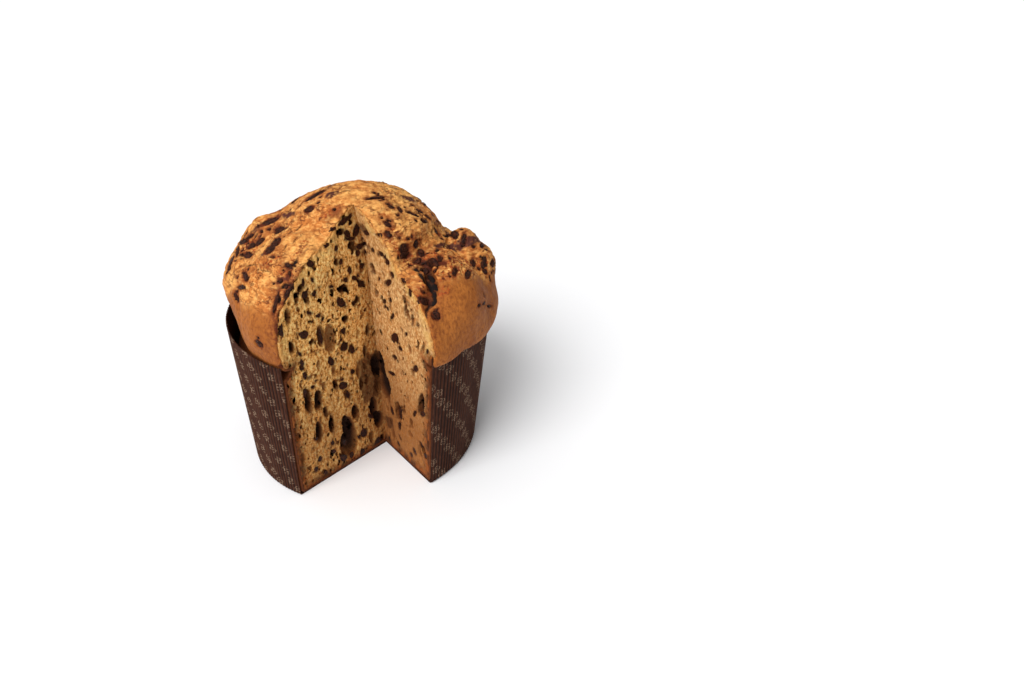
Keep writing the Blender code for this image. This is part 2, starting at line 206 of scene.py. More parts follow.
# Stage, in metres: the place that the lights point at, and the floor's half width
LIT_PLACE = (0, 0, 0.08)
FLOOR = 3

# Chips where the camera sees them: across and down the picture, length, width, slope in degrees
CRUST_CHIPS = (
    (270.5, 221.2, 22, 5, 27), (262.8, 213.5, 6, 3, 20), (280.5, 210.2, 3, 2, 40),
    (294.4, 201.1, 10, 3, 37), (309.3, 209.2, 10, 5.5, 32), (279.1, 230.3, 11, 6, 35),
    (276.2, 241.3, 10, 6, 42), (269.5, 249.4, 12, 6, 40), (260, 241.3, 10, 5.5, 35),
    (248.5, 255.2, 10, 6, 10), (250.4, 245.6, 9, 4, 45), (243.7, 241.3, 9, 4, 35),
    (249.5, 236.5, 8, 3, 35), (237.5, 251.3, 10, 3, 75), (230.8, 262.3, 12, 3.5, 65),
    (236.5, 242.5, 13, 3, 60), (245.1, 276.2, 10, 5, 110), (240.4, 287.2, 6, 4.5, 30),
    (236, 296.3, 7, 3.5, 115), (288.2, 265.7, 8, 4.5, 160), (289.2, 274.3, 8, 3, 80),
    (292.5, 286.3, 10, 6, 160), (287.7, 293.4, 11, 4.5, 62), (275.5, 303.5, 20, 3, 78),
    (280, 281, 5, 4, 30), (273.4, 257.1, 2.5, 2, 0), (334.1, 209.2, 3, 2.5, 0),
    (280.3, 331, 17, 4.5, 102), (258.9, 344.3, 9, 5, 135), (284.5, 364.7, 7, 4, 160),
    (388, 224, 8, 4, 150), (388.5, 234.5, 8, 6, 140), (404.3, 249, 10, 9, 60),
    (405.5, 255, 9, 6, 20), (417.7, 260.9, 9, 6, 10), (422, 253.2, 8, 6, 150),
    (416.2, 243.7, 8, 4, 80), (430.6, 262.8, 12, 8, 15), (440.1, 258, 6, 5, 90),
    (437.3, 250.5, 5, 3, 20), (425.8, 271.4, 10, 6, 20), (455.4, 271.4, 8, 4.5, 75),
    (468.4, 274.3, 8, 5.5, 80), (473.1, 263.3, 8, 5, 100), (484.1, 262.8, 11, 5, 75),
    (493, 262.8, 8, 3, 90), (485.1, 271.4, 6, 4, 130), (464, 240, 12, 5, 80),
    (453.5, 234, 8, 6, 20), (473.6, 246.5, 3, 3, 0), (482, 245.6, 4, 3, 120),
    (424.8, 301, 12, 7, 150), (436, 316, 9, 8, 130), (484, 303, 4, 3, 60),
    (479, 305.5, 3, 2, 60), (489, 306, 3, 2, 0), (375.6, 197.7, 16, 2.5, 5),
    (391.4, 206.8, 5, 2.5, 170), (400, 209.2, 7, 3, 125), (412.4, 213.5, 10, 1.8, 155),
    (420, 211.1, 7, 2, 152), (423.9, 220.7, 6, 3.5, 150), (427.7, 216.9, 6, 2, 145),
    (436.3, 232, 10, 2.5, 120), (315.5, 194.9, 22, 3.5, 28),
)
# Smears, where a thin skin lies over chocolate, and torn places, given in the same way
CRUST_SMEARS = (
    (289, 214.5, 13, 5, 20), (332.2, 194, 15, 6, 25), (334.6, 184, 20, 2.5, 17),
    (409, 197.7, 18, 4, 158), (427.7, 204.4, 12, 3, 145), (396, 188.2, 8, 2, 165),
    (437, 220, 18, 2.5, 125), (448, 249, 24, 8, 155), (480, 242, 18, 2.5, 135),
    (255, 230, 14, 4, 38), (265, 253, 12, 3, 20), (281, 280, 10, 5, 25),
)
CRUST_TEARS = (
    (393.5, 230, 18, 5, 140), (382.3, 215, 10, 3, 170), (422.9, 282.9, 12, 8, 120),
    (289.2, 225, 6, 2.5, 0), (249, 248, 22, 14, 40), (289, 275, 14, 24, 90),
    (408, 262, 16, 14, 30), (430, 258, 22, 16, 15), (462, 240, 12, 16, 90),
    (484, 264, 10, 14, 90), (425, 292, 12, 24, 100), (330, 212, 30, 5, 32),
    (300, 250, 34, 6, 55), (398, 250, 34, 5, 125), (270, 262, 30, 6, 30), (462, 263, 34, 20, 5),
)
# Crevices of the crust, sunk into it and painted near black inside as painted shade
CRUST_CREVICES = (
    (416.5, 269, 9, 4, 165), (423, 277, 16, 5, 130), (430, 287, 16, 4, 115),
    (434.5, 297, 14, 5, 95), (428, 309, 12, 2.5, 70), (425, 318, 14, 2, 78),
    (284, 286, 8, 4, 40), (281.5, 318, 16, 5, 95), (279, 300, 8, 4, 80), (286, 300, 12, 4, 70),
    (295, 262, 8, 3, 50), (428, 262, 8, 5, 10), (465, 236, 6, 3, 40), (483, 258, 6, 3, 60),
    (447, 236, 10, 3, 20), (424, 271, 9, 5, 160), (431.5, 279, 9, 5, 130),
    (435, 287, 9, 5, 120), (433, 303, 10, 4, 70),
    (406, 192, 14, 1.0, 150), (418, 200, 14, 1.0, 144), (428, 208, 14, 1.2, 136),
    (436, 218, 14, 1.2, 124), (427, 220, 10, 0.9, 135), (434, 236, 10, 0.9, 118),
    (386, 190, 10, 0.9, 166), (420, 241, 8, 1.0, 120),
    (300, 205, 12, 1.5, 40), (290, 209, 9, 1.4, 40), (322, 188, 12, 1.5, 28),
    (256, 236, 10, 1.5, 50), (262, 247, 10, 1.5, 40), (242, 256, 8, 1.5, 70),
    (285, 246, 8, 1.4, 60), (295, 240, 10, 1.3, 50), (250, 265, 12, 1.3, 10),
    (262, 270, 14, 1.3, 170), (298, 228, 9, 1.3, 45), (345, 190, 10, 1.3, 10),
)
# Deep pits of the crumb
CRUMB_PITS = (
    (288, 317, 12, 4.5, 95), (309, 401.6, 22, 6, 98), (319, 400, 18, 7, 95),
    (355.6, 412, 12, 7, 95), (374.3, 407.6, 20, 7, 92), (379, 364, 24, 8, 97), (384, 385, 26, 10, 102),
    (379.6, 419.6, 15, 9, 90), (332.3, 424, 16, 4, 95), (319.5, 431.6, 18, 6, 95),
    (349.5, 431.6, 27, 12, 95), (397.6, 410.6, 16, 5, 92), (421, 404.6, 20, 6, 85),
    (292.5, 347.5, 10, 4.5, 105), (345, 319, 6, 6, 0), (405, 305.5, 15, 2.5, 92),
    (301, 288, 8, 5, 60), (306, 300, 7, 4, 120), (343.6, 289, 9, 7, 40), (336, 262, 6, 4, 80),
    (352, 245, 8, 5, 60), (341, 232, 9, 6, 20), (368, 330, 10, 3, 95), (366, 352, 12, 3, 95),
    (362, 384, 12, 4, 95), (357, 300, 6, 4, 60), (336, 385, 9, 4, 100), (326, 412, 9, 4, 95),
    (312, 342, 6, 4, 60), (412.6, 320.5, 9, 2.5, 92), (372, 268, 9, 3, 100), (345, 420, 8, 4, 80),
)
CRUMB_CHIPS = (
    (310.7, 263.8, 9, 8, 130), (327, 245.6, 7, 4, 45), (345.6, 220.5, 18, 5, 40),
    (332.7, 229, 9, 4, 10), (343, 229.5, 10, 8, 30), (348, 234, 8, 6, 120),
    (356.6, 231.2, 10, 6, 95), (358.5, 253.3, 7, 5, 90), (351.8, 239, 9, 4, 10),
    (360.5, 246.6, 7, 6, 60), (341.3, 261.9, 7, 4, 80), (350.4, 270.5, 8, 4, 100),
    (346.6, 280, 5, 4, 60), (336.5, 248.5, 7, 4, 80), (354.7, 278.1, 5, 5, 0),
    (361.4, 283.9, 8, 7, 60), (344.2, 289.5, 10, 8, 90), (303.5, 283.5, 9, 3, 100),
    (312.6, 280, 6, 3, 120), (331.7, 286.7, 4, 3, 0), (305.2, 294.8, 9, 7, 60),
    (314.7, 293.3, 7, 4, 80), (341.5, 303, 11, 8, 140), (353.8, 303.5, 6, 5, 90),
    (344.6, 319.8, 6, 5.5, 20), (309.9, 313.2, 6, 3, 0), (319.1, 315.7, 5, 4, 45),
    (304.8, 335.1, 9, 8, 40), (300.7, 354.5, 5, 3, 120), (302.8, 363.7, 8, 4, 100),
    (331.8, 361.6, 10, 7, 110), (344.1, 331, 8, 4, 95), (345, 347, 11, 8, 60),
    (352.8, 349.4, 9, 5, 95), (352.8, 371.8, 5, 4, 90), (343.6, 385.8, 10, 8, 20),
    (348.7, 395.3, 8, 4, 100), (305.3, 376, 7, 4, 100), (313, 387, 5, 4, 30),
    (305.3, 392.5, 9, 3.5, 85), (320, 433, 12, 5, 90), (364.6, 433, 10, 8, 90),
    (321, 336.6, 16, 4, 100), (357.5, 229.3, 12, 5, 95), (366, 233, 8, 4, 150),
    (363, 265.7, 6, 4, 60), (364.5, 243.6, 4, 4, 0), (372.2, 250.4, 5, 3, 120),
    (378.9, 279, 4, 2, 90), (379, 235.6, 7, 3.5, 150), (380.4, 254.2, 7, 4, 130),
    (386.6, 261.8, 8, 3.5, 110), (384.5, 258, 5, 3, 120), (391.8, 275.2, 8, 4, 110),
    (388, 282.9, 8, 6, 45), (404, 280, 6, 4, 120), (409.5, 293, 10, 3, 100),
    (405.8, 303, 12, 2.5, 92), (390.4, 300, 6, 3, 95), (384.2, 301.5, 5, 4, 90),
    (384.8, 306.5, 4, 2.5, 90), (392.4, 316, 7, 2.5, 85), (394, 337.4, 9, 7, 70),
    (397, 339.5, 9, 2.5, 92), (400, 349, 6, 4, 135), (394.7, 357.3, 6, 4, 120),
    (415.4, 368.8, 8, 6, 70), (413.9, 321.4, 8, 4, 100), (405.8, 334.4, 4, 3, 90),
    (391.7, 373.4, 8, 3.5, 150), (426.9, 352, 6, 3, 80), (424.3, 401, 17, 6, 80),
    (400.5, 413.6, 15, 3.5, 90), (414.4, 413.6, 6, 3, 90), (422, 414.5, 6, 5, 90),
)


# Noise

GRADIENTS = np.random.default_rng(5).normal(size=(256, 3))
GRADIENTS = (GRADIENTS / np.linalg.norm(GRADIENTS, axis=1)[:, None]).astype(np.float32)
SPREAD = np.random.default_rng(8).random((4096, 5)).astype(np.float32)


def ramp(value):
    return np.clip(value, 0, 1)


def bell(distance, reach):
    """1 at no distance, and next to nothing at twice the reach."""
    return np.exp(-((distance / reach) ** 2))


def far_from(points):
    return np.full(len(points), FAR, np.float32)


def scramble(x, y, z, seed):
    """A repeatable whole number for each lattice point."""
    mixed = (x * 73856093) ^ (y * 19349663) ^ (z * 83492791) ^ (seed * 49979687)
    mixed = (mixed ^ (mixed >> 13)) * 1274126177
    return (mixed ^ (mixed >> 16)) & 0xFFFF


def noise(points, size, seed=0):
    """Smooth noise of about -1 to 1 whose lumps are as large as size, one number or three."""
    spots = points / np.array(size, np.float32)
    cell = np.floor(spots)
    part = (spots - cell).astype(np.float32)
    cell = cell.astype(np.int64)
    ease = part * part * part * (part * (part * 6 - 15) + 10)
    sides = (1 - ease, ease)
    total = np.zeros(len(points), np.float32)
    for i, j, k in product((0, 1), repeat=3):
        which = scramble(cell[:, 0] + i, cell[:, 1] + j, cell[:, 2] + k, seed) & 255
        away = part - np.array((i, j, k), np.float32)
        weight = sides[i][:, 0] * sides[j][:, 1] * sides[k][:, 2]
        total += weight * (GRADIENTS[which] * away).sum(axis=1)
    return total * 1.6


def bubbles(points, size, seed, share, least, most):
    """Below zero inside scattered egg-shaped holes. Radii are in parts of the spacing, size."""
    spots = (points / np.array(size, np.float32)).astype(np.float32)
    cell = np.floor(spots).astype(np.int64)
    radii = least + (most - least) * SPREAD[:, 3]
    radii[SPREAD[:, 4] > share] = -FAR
    best = far_from(points)
    for step in product((-1, 0, 1), repeat=3):
        near = cell + np.array(step)
        which = scramble(near[:, 0], near[:, 1], near[:, 2], seed) & 4095
        away = spots - near.astype(np.float32) - SPREAD[which, :3]
        np.minimum(best, np.sqrt((away * away).sum(axis=1)) - radii[which], out=best)
    return best * min(size)


# The bread's form


def smooth_min(a, b, width):
    blend = np.maximum(width - np.abs(a - b), 0.0) / width
    return np.minimum(a, b) - blend * blend * width / 4


def smooth_max(a, b, width):
    return -smooth_min(-a, -b, width)


def bun_field(points):
    away = points - np.array(CROWN_MIDDLE, np.float32)
    across = np.hypot(away[:, 0], away[:, 1]) / BUN_RADIUS
    lean = away[:, 0] * BUN_FALL[0] + away[:, 1] * BUN_FALL[1]
    upward = np.abs(away[:, 2] + lean) / BUN_HALF_HEIGHT
    reach = (across**BUN_SQUARENESS + upward**BUN_SQUARENESS) ** (1 / BUN_SQUARENESS)
    return np.linalg.norm(away, axis=1) * (1 - 1 / np.maximum(reach, 0.001))


def path_distance(points, path):
    path = np.array(path, np.float32)
    nearest = np.full(len(points), 1e9, np.float32)
    for start, end in zip(path[:-1], path[1:]):
        run = end - start
        share = ramp((points - start) @ run / (run @ run))
        foot = points - start - share[:, None] * run
        nearest = np.minimum(nearest, (foot * foot).sum(axis=1))
    return np.sqrt(nearest)


def in_crease(points, path, half_width):
    """1 on a crease's path and 0 away from it."""
    share = np.zeros(len(points), np.float32)
    middle = np.mean(path, axis=0).astype(np.float32)
    close = (np.abs(points - middle) < CREASE_REACH).all(axis=1)
    if close.any():
        share[close] = bell(path_distance(points[close], path), half_width)
    return share


def crown_field(points):
    """Below zero inside the crown, in millimetres from its surface near it."""
    field = bun_field(points)
    for x, y, z, radius, blend in LOBES:
        away = points - np.array((x, y, z), np.float32)
        field = smooth_min(field, np.sqrt((away * away).sum(axis=1)) - radius, blend)
    for path, depth, half_width in CREASES:
        field += depth * in_crease(points, path, half_width)
    return field


def skin_depth(points):
    """How deep the crust goes: more under the two deep creases, whose sides are steep."""
    depth = np.full(len(points), CRUST_THICKNESS, np.float32)
    for path, _, half_width in CREASES[:2]:
        more = CRUST_IN_CREASES * in_crease(points, path, half_width + 4)
        depth = np.maximum(depth, CRUST_THICKNESS + more)
    return depth


def off_creases(points):
    """Whether points are well away from the two deep creases."""
    away = [path_distance(points, crease[0]) for crease in CREASES[:2]]
    return np.minimum(*away) > CREASE_CLEARANCE


def case_radius(z):
    return CASE_FOOT_RADIUS + (CASE_RIM_RADIUS - CASE_FOOT_RADIUS) * z / CASE_HEIGHT


def case_axis(z):
    return CASE_LEAN * z / CASE_HEIGHT


def turn_of(points):
    return np.degrees(np.arctan2(points[:, 0] - CROWN_MIDDLE[0], CROWN_MIDDLE[1] - points[:, 1]))


def off_axis(points):
    """Distance from the case's axis, which leans."""
    return np.hypot(points[:, 0] - case_axis(points[:, 2]), points[:, 1])


def core_side(points):
    """Distance outward from the side wall of the bread inside the case."""
    z = points[:, 2]
    turn = turn_of(points)
    round_it = np.cos(np.radians(np.clip((turn - SHRINK_TURN) * 90 / SHRINK_SPREAD, -90, 90)))
    shrink = SHRINK * round_it * ramp((z - SHRINK_FROM) / (CASE_HEIGHT - SHRINK_FROM))
    return off_axis(points) - (case_radius(z) - PLEAT_DEPTH - PAPER - 2 * GAP - shrink)


def bread_field(points):
    """Below zero inside the whole bread, before the wedge is cut and without its wrinkles."""
    z = points[:, 2]
    turn = turn_of(points)
    crown = smooth_max(crown_field(points), np.interp(turn, LIP_TURNS, LIP_HEIGHTS) - z, 5.0)
    side = core_side(points)
    dip = CORE_DIP * bell(turn - CORE_DIP_TURN, CORE_DIP_SPREAD)
    top = z - CORE_TOP + dip - 1.5 * np.clip(-side - 4, 0, 22)
    core = smooth_max(smooth_max(side, PAPER + GAP - z, 3.0), top, 1.0)
    whole = smooth_min(crown, core, 1.5)
    from_wall = np.abs(off_axis(points) - case_radius(z) + SLOT_INSET)
    slot = np.maximum(from_wall - SLOT_HALF_WIDTH, z - CASE_HEIGHT - GAP)
    return np.maximum(whole, -slot)


def cut_line(z, values):
    """A line through the cut's listed values, rounded over its kinks."""
    heights = np.arange(-6.0, 201.0)
    steps = (-18, -9, 0, 9, 18)
    rounded = np.mean([np.interp(heights + step, CUT_HEIGHTS, values) for step in steps], axis=0)
    return np.interp(z, heights, rounded).astype(np.float32)


def cut_places(points):
    """For the left and the right cut face: distance into the notch, and way along from the corner."""
    z = points[:, 2]
    x = points[:, 0] - cut_line(z, CUT_CORNER_X)
    y = points[:, 1] - CUT_CORNER_Y
    left = np.radians(cut_line(z, CUT_LEFT_TURNS))
    right = np.radians(cut_line(z, CUT_RIGHT_TURNS))
    return (
        (x * np.cos(left) + y * np.sin(left), x * np.sin(left) - y * np.cos(left)),
        (-x * np.cos(right) - y * np.sin(right), x * np.sin(right) - y * np.cos(right)),
    )


def wedge_field(points):
    """Above zero inside the notch."""
    left, right = cut_places(points)
    return np.minimum(left[0], right[0])


def gradient(field, points):
    """Unit direction in which a field grows."""
    slope = np.empty_like(points)
    for axis in range(3):
        step = np.zeros(3, np.float32)
        step[axis] = 0.4
        slope[:, axis] = field(points + step) - field(points - step)
    return slope / np.maximum(np.linalg.norm(slope, axis=1), 1e-6)[:, None]


def smooth_zone(points):
    """1 on the smooth lower bulge, 0 on the wrinkled upper crust."""
    edge = np.interp(turn_of(points), SMOOTH_TURNS, SMOOTH_HEIGHTS)
    wander = 3.0 * noise(points, 14.0, 3) + 1.2 * noise(points, 5.0, 4)
    return 1 / (1 + np.exp(np.clip((points[:, 2] - edge + wander) / 1.2, -30, 30)))


def skin_relief(points, smooth):
    """Folds and wrinkles of the baked skin, outward, and where its grooves run, which the crust's colour
    darkens as painted shade.
    """
    upper = 1 - smooth
    swell = 0.9 * noise(points, (15.0, 15.0, 10.0), 11) + 0.45 * noise(points, (6.0, 6.0, 3.5), 12)
    bent = points + 2.5 * noise(points, 8.0, 13)[:, None]
    broad = ramp((0.16 - np.abs(noise(bent, (16.0, 16.0, 4.0), 14))) / 0.16)
    fine = ramp((0.2 - np.abs(noise(bent, (7.0, 7.0, 1.7), 15))) / 0.2)
    presence = ramp(0.5 + noise(points, 12.0, 17))
    fine *= np.clip(0.3 + 1.3 * noise(points, 13.0, 35), 0.1, 1)
    groove = np.maximum(broad * presence, 0.65 * fine)
    pores = ramp(-bubbles(points, (4.5, 4.5, 3.5), 18, 0.22, 0.12, 0.3) / 0.6)
    grain = 0.12 * noise(points, 1.8, 16) + 0.22 * upper * noise(points, (3.4, 3.4, 2.2), 20)
    relief = upper * (swell - 0.7 * broad * presence - 0.55 * fine - 0.7 * pores)
    craggy = bell(np.linalg.norm(points - np.array(CRAGS_MIDDLE, np.float32), axis=1), CRAGS_REACH)
    relief += upper * craggy * (1.1 - 4.2 * np.abs(noise(bent, (8.0, 8.0, 5.0), 34)))
    relief += smooth * (0.5 * noise(points, (9.0, 9.0, 26.0), 19) + 0.12) + grain
    return relief, upper * np.maximum(groove, pores)


# Seeing the bread as the camera does


def camera_axes():
    right = np.array((1.0, 0.0, 0.0))
    forward = np.array((0.0, math.cos(PITCH), -math.sin(PITCH)))
    up = np.cross(right, forward)
    across = math.cos(ROLL) * right + math.sin(ROLL) * up
    above = -math.sin(ROLL) * right + math.cos(ROLL) * up
    return across, above, forward


def rays(spots):
    across, above, forward = camera_axes()
    x = (spots[:, 0] - PICTURE[0] / 2) / FOCAL
    y = (PICTURE[1] / 2 - spots[:, 1]) / FOCAL
    return forward + x[:, None] * across + y[:, None] * above


def cut_bread(points):
    return np.maximum(bread_field(points), wedge_field(points))


def seen(spots, field):
    """Where rays through places of the picture first meet a field's surface."""
    ways = rays(spots)
    steps = np.arange(480.0, 760.0, 1.0)
    line = CAMERA_AT + steps[None, :, None] * ways[:, None, :]
    inside = field(line.reshape(-1, 3).astype(np.float32)).reshape(len(spots), -1) < 0
    near = steps[np.argmax(inside, axis=1)] - 1.0
    far = near + 1.0
    for _ in range(8):
        middle = (near + far) / 2
        hit = field((CAMERA_AT + middle[:, None] * ways).astype(np.float32)) < 0
        far = np.where(hit, middle, far)
        near = np.where(hit, near, middle)
    points = (CAMERA_AT + far[:, None] * ways).astype(np.float32)
    return points, inside.any(axis=1)


class Mark:
    """An egg-shaped place on the bread: its middle and three half axes, the last one outward."""

    def __init__(self, middle, long_axis, wide_axis, out_axis):
        self.middle = np.asarray(middle, np.float32)
        self.axes = np.array((long_axis, wide_axis, out_axis), np.float32)
        if np.linalg.det(self.axes) < 0:
            self.axes[1] *= -1
        self.inverse = np.linalg.inv(self.axes)
        lengths = np.linalg.norm(self.axes, axis=1)
        self.size = float(min(lengths[0], lengths[1]))
        self.reach = float(max(lengths[0], lengths[1])) + 4.0

    def out(self):
        return self.axes[2] / np.linalg.norm(self.axes[2])


    def local(self, points):
        """Which points are near the mark, and where they are in units of its half axes."""
        away = points - self.middle
        close = np.flatnonzero((np.abs(away) < self.reach).all(axis=1))
        return close, away[close] @ self.inverse


def marks_seen(rows, field, out_field, thickness, share=1.0):
    """Marks where the camera sees them, flat on the surface of a field."""
    rows = np.array(rows, float)
    middles, found = seen(rows[:, :2], field)
    outs = gradient(out_field, middles)
    marks = []
    for row, middle, out, hit in zip(rows, middles, outs, found):
        if not hit:
            continue
        slope = math.radians(row[4])
        axes = []
        for length, angle in ((row[2], slope), (row[3], slope + math.pi / 2)):
            step = np.array((math.cos(angle), -math.sin(angle))) * length / 2
            way = rays((row[:2] + step)[None])[0]
            far = ((middle - CAMERA_AT) @ out) / (way @ out)
            axis = CAMERA_AT + far * way - middle
            most = MOST_STRETCH * (PIXEL * length / 2)
            axes.append(axis * (share * min(1.0, most / np.linalg.norm(axis))))
        marks.append(Mark(middle, axes[0], axes[1], out * thickness))
    return marks


def mark_distance(points, marks):
    """Distance outside the nearest mark along the skin, in millimetres; below zero on a mark."""
    nearest = far_from(points)
    for mark in marks:
        close, local = mark.local(points)
        far = (np.hypot(local[:, 0], local[:, 1]) - 1) * mark.size
        nearest[close] = np.minimum(nearest[close], far)
    return nearest


def level_way(out, wobble, chance):
    """A direction along the skin, level but for a random turn."""
    level = np.cross(out, (0.0, 0.0, 1.0)) + chance.normal(size=3) * wobble
    level -= (level @ out) * out
    return level / np.linalg.norm(level)


def marks_elsewhere(count, chance):
    """Chips over the crust where the camera doesn't see it, in loose clusters."""
    marks = []
    middle = np.array(CROWN_MIDDLE, np.float32)
    camera = CAMERA_AT.astype(np.float32)
    steps = np.arange(20.0, 110.0, 0.5, dtype=np.float32)
    toward = np.arange(3.0, 90.0, 1.5, dtype=np.float32)
    cluster = None
    while len(marks) < count:
        if cluster is None or chance.random() < 0.3:
            way = chance.normal(size=3)
            way[2] = abs(way[2]) * 0.9 - 0.25
            cluster = way / np.linalg.norm(way)
        way = cluster + chance.normal(size=3) * 0.13
        way = (way / np.linalg.norm(way)).astype(np.float32)
        line = middle + steps[:, None] * way
        point = line[int(np.argmax(cut_bread(line) > 0))][None]
        if wedge_field(point)[0] > -6 or point[0, 2] < 117:
            continue
        if smooth_zone(point)[0] > 0.5 and chance.random() < 0.8:
            continue
        out = gradient(bread_field, point)[0]
        view = camera - point[0]
        view /= np.linalg.norm(view)
        clear = (bread_field(point + toward[:, None] * view) > 0).all()
        if out @ view > 0.05 and clear:
            continue
        level = level_way(out, 0.35, chance)
        length = 1.1 + 3.4 * chance.random() ** 1.6
        width = min(length, 2.9) * chance.uniform(0.4, 0.95)
        if any(np.linalg.norm(mark.middle - point[0]) < 0.8 * (mark.size + length) for mark in marks):
            continue
        marks.append(Mark(point[0], level * length, np.cross(out, level) * width, out * CHIP_THICKNESS))
    return marks


def specks_near(marks, count, field, allowed, chance):
    """Small bits of chocolate beside larger chips, on the same surface."""
    specks = []
    while len(specks) < count:
        mark = marks[int(chance.integers(len(marks)))]
        if mark.size < 1.2:
            continue
        way = chance.normal(size=3)
        way -= (way @ mark.out()) * mark.out()
        way /= np.linalg.norm(way)
        point = (mark.middle + way * (mark.size + chance.uniform(1.0, 5.5)))[None].astype(np.float32)
        for _ in range(2):
            point = point - field(point)[:, None] * gradient(field, point)
        if not allowed(point)[0]:
            continue
        out = gradient(field, point)[0]
        level = level_way(out, 0.5, chance)
        length = chance.uniform(0.5, 1.25)
        width = length * chance.uniform(0.5, 0.9)
        specks.append(Mark(point[0], level * length, np.cross(out, level) * width, out * 0.8))
    return specks


def on_cut(side, along, z):
    """A point on a cut face, and the face's direction out into the notch and along it."""
    turn = math.radians(float(cut_line(z, CUT_RIGHT_TURNS if side else CUT_LEFT_TURNS)))
    sign = -1 if side else 1
    ahead = np.array((math.sin(turn), -math.cos(turn), 0.0))
    out = np.array((sign * math.cos(turn), sign * math.sin(turn), 0.0))
    corner = np.array((float(cut_line(z, CUT_CORNER_X)), CUT_CORNER_Y, z))
    return corner + along * ahead, out, ahead


def hidden_crumb_marks(count, chance):
    """Chips low on the cut faces, below the listed ones."""
    marks = []
    while len(marks) < count:
        side = int(chance.random() < 0.42)
        along = chance.uniform(4, 55 if side else 72)
        z = chance.uniform(4, 42 - 0.25 * along if side else 34)
        point, out, ahead = on_cut(side, along, z)
        if any(np.linalg.norm(mark.middle - point) < 6.5 for mark in marks):
            continue
        tilt = chance.uniform(-0.5, 0.5)
        length = chance.uniform(1.6, 3.4)
        long_axis = np.array((0, 0, 1.0)) * math.cos(tilt) + ahead * math.sin(tilt)
        wide_axis = np.cross(out, long_axis) * length * chance.uniform(0.45, 0.85)
        marks.append(Mark(point, long_axis * length, wide_axis, out * CRUMB_CHIP_THICKNESS))
    return marks


# Meshes from fields


def surface_of(field, box, voxel, inward, outward):
    """Points and quads round where the field is below zero, worked out in full near its surface."""
    low = np.array(box[0], np.float32)
    step = voxel * BLOCK
    count = np.ceil((np.array(box[1]) - low) / step).astype(int)
    corner = np.indices(count + 1).reshape(3, -1).T.astype(np.float32)
    rough = np.concatenate([field(low + step * some, False) for some in np.array_split(corner, 8)])
    rough = rough.reshape(count + 1)
    least = rough[:-1, :-1, :-1].copy()
    most = least.copy()
    for i, j, k in product((0, 1), repeat=3):
        near = rough[i:i + count[0], j:j + count[1], k:k + count[2]]
        np.minimum(least, near, out=least)
        np.maximum(most, near, out=most)
    busy = (least < outward) & (most > -inward)
    band = 4 * voxel
    solid = np.where(least > 0, band, -band).astype(np.float32)
    values = solid.repeat(BLOCK, 0).repeat(BLOCK, 1).repeat(BLOCK, 2)
    cut = values.reshape(count[0], BLOCK, count[1], BLOCK, count[2], BLOCK)
    inner = np.indices((BLOCK,) * 3).reshape(3, -1).T.astype(np.float32)
    where = np.argwhere(busy)
    parts = [where[start:start + 3000] for start in range(0, len(where), 3000)]

    def work_out(some):
        spots = low + voxel * (some[:, None, :] * BLOCK + inner[None]).reshape(-1, 3).astype(np.float32)
        return field(spots, True).reshape(-1, BLOCK, BLOCK, BLOCK)

    with ThreadPoolExecutor(4) as pool:
        for some, found in zip(parts, pool.map(work_out, parts)):
            cut[some[:, 0], :, some[:, 1], :, some[:, 2], :] = found
    grid = openvdb.FloatGrid(float(band))
    grid.copyFromArray(np.ascontiguousarray(np.clip(values, -band, band)))
    points, quads = grid.convertToQuads(0.0)
    return (low + voxel * points).astype(np.float32), quads[:, ::-1].astype(np.int64)


def as_triangles(quads):
    return np.concatenate([quads[:, [0, 1, 2]], quads[:, [0, 2, 3]]])


def coarsen(points, triangles, hidden, sheet):
    """Draws the hidden points of each sheet together on a coarse lattice; faces that collapse go."""
    key = np.floor(points / HIDDEN_CELL).astype(np.int64) + 4096
    key = ((key[:, 0] * 8192 + key[:, 1]) * 8192 + key[:, 2]) * 4 + sheet
    key[~hidden] = -1 - np.arange(np.count_nonzero(~hidden))
    names, index = np.unique(key, return_inverse=True)
    index = index.reshape(-1)
    size = np.bincount(index, minlength=len(names))
    drawn = np.stack([np.bincount(index, points[:, i], len(names)) / size for i in range(3)], 1)
    triangles = index[triangles]
    a, b, c = triangles.T
    triangles = triangles[(a != b) & (b != c) & (c != a)]
    kind = np.sort(triangles, axis=1)
    _, first, times = np.unique(kind, axis=0, return_index=True, return_counts=True)
    triangles = triangles[np.sort(first[times % 2 == 1])]
    return drawn.astype(np.float32), triangles


def largest_piece(points, triangles):
    label = np.arange(len(points))
    while True:
        least = label[triangles].min(axis=1)
        after = label.copy()
        for i in range(3):
            np.minimum.at(after, triangles[:, i], least)
        after = after[after]
        if (after == label).all():
            break
        label = after
    keep = label == np.bincount(label[triangles[:, 0]]).argmax()
    triangles = triangles[keep[triangles[:, 0]]]
    used, triangles = np.unique(triangles, return_inverse=True)
    return points[used], triangles.reshape(-1, 3)


def placed(points):
    return (np.asarray(points, float) - (MIDDLE[0], MIDDLE[1], 0.0)) * MM


def add_object(name, data):
    obj = bpy.data.objects.new(name, data)
    bpy.context.scene.collection.objects.link(obj)
    return obj


def add_values(mesh, attributes):
    """Numbers at the mesh's points, which its material reads."""
    for label, values in attributes:
        layer = mesh.attributes.new(label, "FLOAT", "POINT")
        layer.data.foreach_set("value", np.asarray(values, np.float32))


